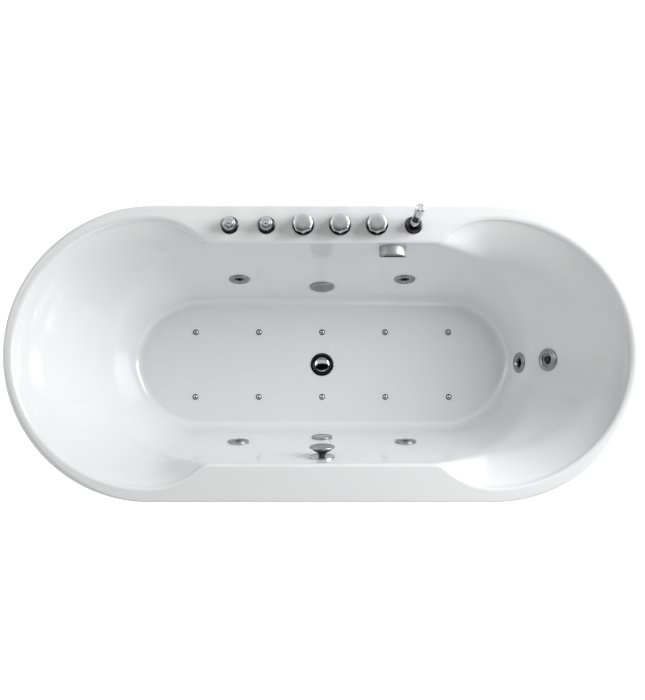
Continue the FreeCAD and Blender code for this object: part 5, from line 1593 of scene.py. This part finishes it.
@dataclass
class Overflow:
    """The overflow: a plate on the front wall, a dark stem and a gripped dial that turns."""

    place: Place
    plate: float = 35.0
    plate_bore: float = 9.3
    plate_thick: float = 4.0
    stem: float = 8.95
    shaft: float = 4.97
    shaft_low: float = -42.0
    dial: float = 34.0
    dial_low: float = 20.0
    dial_high: float = 32.0
    grips: int = 28
    wall_bore: float = 9.3

    def cover(self) -> bpy.types.Object:
        """Makes the plate with its rounded edge."""
        high = self.plate_thick
        # The plate takes the lighter button_cap finish, not chrome: painted light, brightening a plate that
        # mirrors the dark underside of the dial.
        piece = spun("overflow_cover", "button_cap", self.place, [
            (self.plate_bore, 0.1), (self.plate - 0.5, 0.1), *bent((self.plate - 1.0, 1.1, 1.0, -60.0, 10.0)),
            *bent((self.plate - 2.0, high - 2.0, 2.0, 10.0, 90.0)), (self.plate - 4.6, high),
            (self.plate - 5.2, high - 0.8), (self.plate_bore + 3.0, high - 0.8),
            (self.plate_bore, high - 1.4)], loop=True)
        return settle(piece, TUB, "chrome", "overflow_plate")

    def stalk(self) -> bpy.types.Object:
        """Makes the stem that flares under the dial."""
        piece = spun("overflow_stalk", "dark_plastic", self.place, [
            (0.0, self.shaft_low), (self.shaft, self.shaft_low), (self.shaft, -8.0), (self.stem, -8.0),
            (self.stem, 6.0), (self.stem + 0.8, 9.0), (self.stem + 3.4, 12.5), (self.stem + 8.4, 16.0),
            (self.stem + 14.0, 19.0), (self.stem + 14.6, self.dial_low), (0.0, self.dial_low)],
                     degrees=50.0)
        return settle(piece, "overflow_dial", "dark_plastic", "overflow_stem")

    def wheel(self) -> bpy.types.Object:
        """Makes the dial with its dished face."""
        low, high = self.dial_low, self.dial_high
        piece = spun("overflow_wheel", "satin_metal", self.place, [
            (0.0, low + 0.05), (self.dial - 12.0, low + 0.05), (self.dial - 2.4, high - 6.2),
            *bent((self.dial - 2.5, high - 4.8, 1.4, -70.0, 0.0)), (self.dial - 1.1, high - 3.6),
            *bent((self.dial - 3.8, high - 3.0, 3.0, 10.0, 90.0)), (self.dial - 7.0, high),
            (self.dial - 7.8, high - 0.8), (12.0, high - 1.6), (0.0, high - 1.9)])
        return settle(piece, "overflow_dial", "chrome", "overflow_knob")

    def grip(self) -> bpy.types.Object:
        """Sets the fine grips round the dial's side."""
        rib = bmesh.new()
        bmesh.ops.create_cube(rib, size=1.0, matrix=Matrix.Diagonal(Vector((2.0, 2.4, 3.4)) * MM).to_4x4())
        bmesh.ops.bevel(rib, geom=rib.edges, offset=0.6 * MM, segments=2, affect="EDGES")
        source = from_bmesh("overflow_grip", rib, "satin_metal")
        form = Form("overflow_grips", {"Count": self.grips, "Radius": (self.dial - 1.05) * MM})
        ribs = form.ring(Value(form, form.start.outputs[0]), form.size("Count"), form.size("Radius"))
        piece = form.made("overflow_grips", ribs, COATS["satin_metal"], source)
        lift = Matrix.Translation(Vector((0, 0, self.dial_high - 3.9)) * MM)
        piece.data.transform(self.place.matrix() @ lift)
        return settle(crease(piece), "overflow_dial", "chrome")


# ---------------------------------------------------------------------------------------------
# Studio
# ---------------------------------------------------------------------------------------------
@dataclass
class Studio:
    """The floor, the soft lights, the surround and the camera, in metres."""

    floor_half: float = 14.0
    floor_colour: tuple[float, float, float] = (0.93, 0.93, 0.93)
    floor_glow: float = 0.68
    fill: float = 0.31
    camera_at: tuple[float, float, float] = (0.0013, -0.3074, 4.1869)
    camera_tilt: float = math.radians(5.0)
    focal: float = 69.81
    lamps: tuple[tuple[tuple[float, float, float], float, float], ...] = (
        ((2.9, 1.1, 2.1), 2.8, 150.0),
        ((-2.9, 0.8, 2.8), 2.4, 26.0),
        ((0.9, -3.0, 3.0), 2.2, 22.0),
    )
    card: tuple[float, float, float, float, float] = (-9.0, 9.0, -12.0, 0.85, 4.75)

    def _glow(self, graph: Graph) -> Value:
        """One for rays that show the background: straight from the camera, or off metal or glass.

        Args:
            graph: the graph that the nodes go into.

        Returns:
            One or nought.
        """
        path = graph.node("ShaderNodeLightPath")
        seen = [Value(graph, path.outputs[name])
                for name in ("Is Camera Ray", "Is Glossy Ray", "Is Transmission Ray")]
        return seen[0].most(seen[1]).most(seen[2])

    def _flat(self, name: str, corners: Sequence[tuple[float, float, float]]
              ) -> tuple[bpy.types.Object, Graph]:
        """Makes a staged four-sided face whose material is still empty.

        Args:
            name: the name of the object, its mesh and its material.
            corners: the four corners in metres, anticlockwise from the side that it faces.

        Returns:
            The object and its material's graph.
        """
        mesh = bpy.data.meshes.new(name)
        mesh.from_pydata(corners, [], [(0, 1, 2, 3)])
        material = bpy.data.materials.new(name)
        material.use_nodes = True
        material.node_tree.nodes.clear()
        mesh.materials.append(material)
        sheet = new_object(name, mesh)
        return sheet, Graph(material.node_tree)

    def floor(self) -> None:
        """Lays the pale floor, lit a little for the rays that show it."""
        reach = self.floor_half
        _, graph = self._flat("studio_floor", [(-reach, -reach, 0), (reach, -reach, 0),
                                               (reach, reach, 0), (-reach, reach, 0)])
        matt = graph.node("ShaderNodeBsdfDiffuse", None, {"Color": (*self.floor_colour, 1.0)})
        glow = graph.node("ShaderNodeEmission", None, {"Color": (1.0, 1.0, 1.0, 1.0),
                                                       "Strength": self._glow(graph) * self.floor_glow})
        both = graph.node("ShaderNodeAddShader", None, {0: matt.outputs[0], 1: glow.outputs[0]})
        graph.node("ShaderNodeOutputMaterial", None, {"Surface": both.outputs[0]})

    def card_overhead(self) -> None:
        """Hangs a black card above the camera, which polished metal reflects as a dark ceiling."""
        left, right, front, back, height = self.card
        card, graph = self._flat("studio_card", [(left, front, height), (left, back, height),
                                                 (right, back, height), (right, front, height)])
        black = graph.node("ShaderNodeBsdfDiffuse", None, {"Color": (0.004, 0.004, 0.004, 1.0)})
        graph.node("ShaderNodeOutputMaterial", None, {"Surface": black.outputs[0]})
        card.visible_camera = False
        card.visible_diffuse = False
        card.visible_shadow = False

    def surround(self) -> None:
        """Sets the world: an even soft fill, and white where the background shows."""
        world = bpy.data.worlds.new("studio")
        bpy.context.scene.world = world
        world.use_nodes = True
        world.node_tree.nodes.clear()
        graph = Graph(world.node_tree)
        glow = self._glow(graph)
        strength = glow.ease(0.0, 1.0) * (1.0 - self.fill) + self.fill
        sky = graph.node("ShaderNodeBackground", None, {"Color": (1.0, 1.0, 1.0, 1.0),
                                                        "Strength": strength})
        graph.node("ShaderNodeOutputWorld", None, {"Surface": sky.outputs[0]})

    def lights(self) -> None:
        """Hangs the soft lamps, each turned to the tub's rim."""
        for number, (place, size, power) in enumerate(self.lamps):
            lamp = bpy.data.lights.new(f"softbox_{number}", "AREA")
            lamp.shape = "DISK"
            lamp.size = size
            lamp.energy = power
            holder = bpy.data.objects.new(lamp.name, lamp)
            bpy.context.scene.collection.objects.link(holder)
            holder.location = place
            aim = Vector((0, 0, 0.4)) - Vector(place)
            holder.rotation_euler = aim.to_track_quat("-Z", "Y").to_euler()

    def camera(self) -> None:
        """Stands the camera above the tub, tipped a little towards the back."""
        lens = bpy.data.cameras.new("camera")
        lens.lens = self.focal
        lens.clip_end = 60.0
        holder = bpy.data.objects.new("camera", lens)
        bpy.context.scene.collection.objects.link(holder)
        holder.location = self.camera_at
        holder.rotation_euler = (self.camera_tilt, 0.0, 0.0)
        bpy.context.scene.camera = holder

    def build(self) -> None:
        """Sets the whole studio."""
        bpy.context.scene.view_settings.view_transform = "Standard"
        self.floor()
        self.card_overhead()
        self.surround()
        self.lights()
        self.camera()


# ---------------------------------------------------------------------------------------------
# Everything in order
# ---------------------------------------------------------------------------------------------
def dress_plain_nodes() -> None:
    """Gives every CAD node the finish of its own material slot."""
    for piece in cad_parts.values():
        for held in piece.material_slots:
            held.material = COATS[held.material.name.split(".")[0]]


def main() -> None:
    """Builds the studio and the tub."""
    logging.basicConfig(level=logging.INFO, format="%(name)s: %(message)s")
    for finish in FINISHES:
        COATS[finish.name] = finish.build()
    dress_plain_nodes()
    Studio().build()
    ShowerHose().build()
    basin = Basin()
    jets = [Jet(name, basin.on_side(x, 345.0, side)) for name, x, side in (
        ("back_head", -236.0, 1), ("back_foot", 236.0, 1),
        ("front_head", -236.0, -1), ("front_foot", 236.0, -1))]
    jets.append(Jet("foot_end", basin.on_end(248.0)))
    turning = TurningJet(basin.on_slope(354.0))
    suction = SuctionCover(basin.on_side(0.0, 288.0, 1))
    lamp = Lamp(basin.on_side(0.0, 288.0, -1))
    overflow = Overflow(basin.on_side(0.0, 526.0, -1))
    spout = Spout(basin.on_side(190.0, 576.0, 1))
    drain = Drain(Place((0.0, 0.0, basin.floor)))
    injectors = Injectors()
    row = DeckRow()
    bores = [(fitting.place, fitting.wall_bore)
             for fitting in (*jets, suction, lamp, turning, overflow, spout, drain)]
    bores += [(Place((injectors.pitch * column, injectors.row * side, basin.floor)), injectors.wall_bore)
              for column in range(-2, 3) for side in (-1, 1)]
    bores += [(row.place(number), radius) for number, radius in enumerate(row.bores)]
    basin.build([(place, radius, BORE_DEPTH) for place, radius in bores])
    Skirt().build()
    switches = [Switch("jet_switch", row.place(0), "jet_switch"),
                Switch("air_switch", row.place(1), "air_switch")]
    bells, rims = bmesh.new(), bmesh.new()
    for switch in switches:
        switch.bell(bells)
        switch.rim(rims)
        switch.press()
    # The bells take the near-black dark_chrome finish, not chrome: painted reflection of dark surroundings.
    settle(crease(from_bmesh("switch_bells", bells, "dark_chrome")), TUB, "chrome", "switch_housings")
    settle(crease(from_bmesh("switch_rims", rims, "chrome")), TUB, "chrome")
    for number, (name, body) in enumerate((("hot_valve", "hot_tap"), ("cold_valve", "cold_tap"),
                                           ("diverter", "diverter_tap")), start=2):
        knob = Knob(name, row.place(number), body)
        knob.cap()
        knob.core()
    shower = HandShower(row.place(5), (math.sin(math.radians(2)), math.sin(math.radians(5)), 1.0))
    shower.stand()
    shower.stick_piece()
    spout.build()
    faces = bmesh.new()
    for jet in jets:
        jet.face(faces)
        jet.nozzle()
    settle(crease(from_bmesh("jet_faces", faces, "jet_metal")), TUB, "chrome", "jet_rings")
    turning.face()
    turning.insert()
    turning.core()
    suction.build()
    lamp.build()
    injectors.build()
    drain.ring()
    drain.stopper()
    overflow.cover()
    overflow.stalk()
    overflow.wheel()
    overflow.grip()


if __name__ == "__main__":
    main()
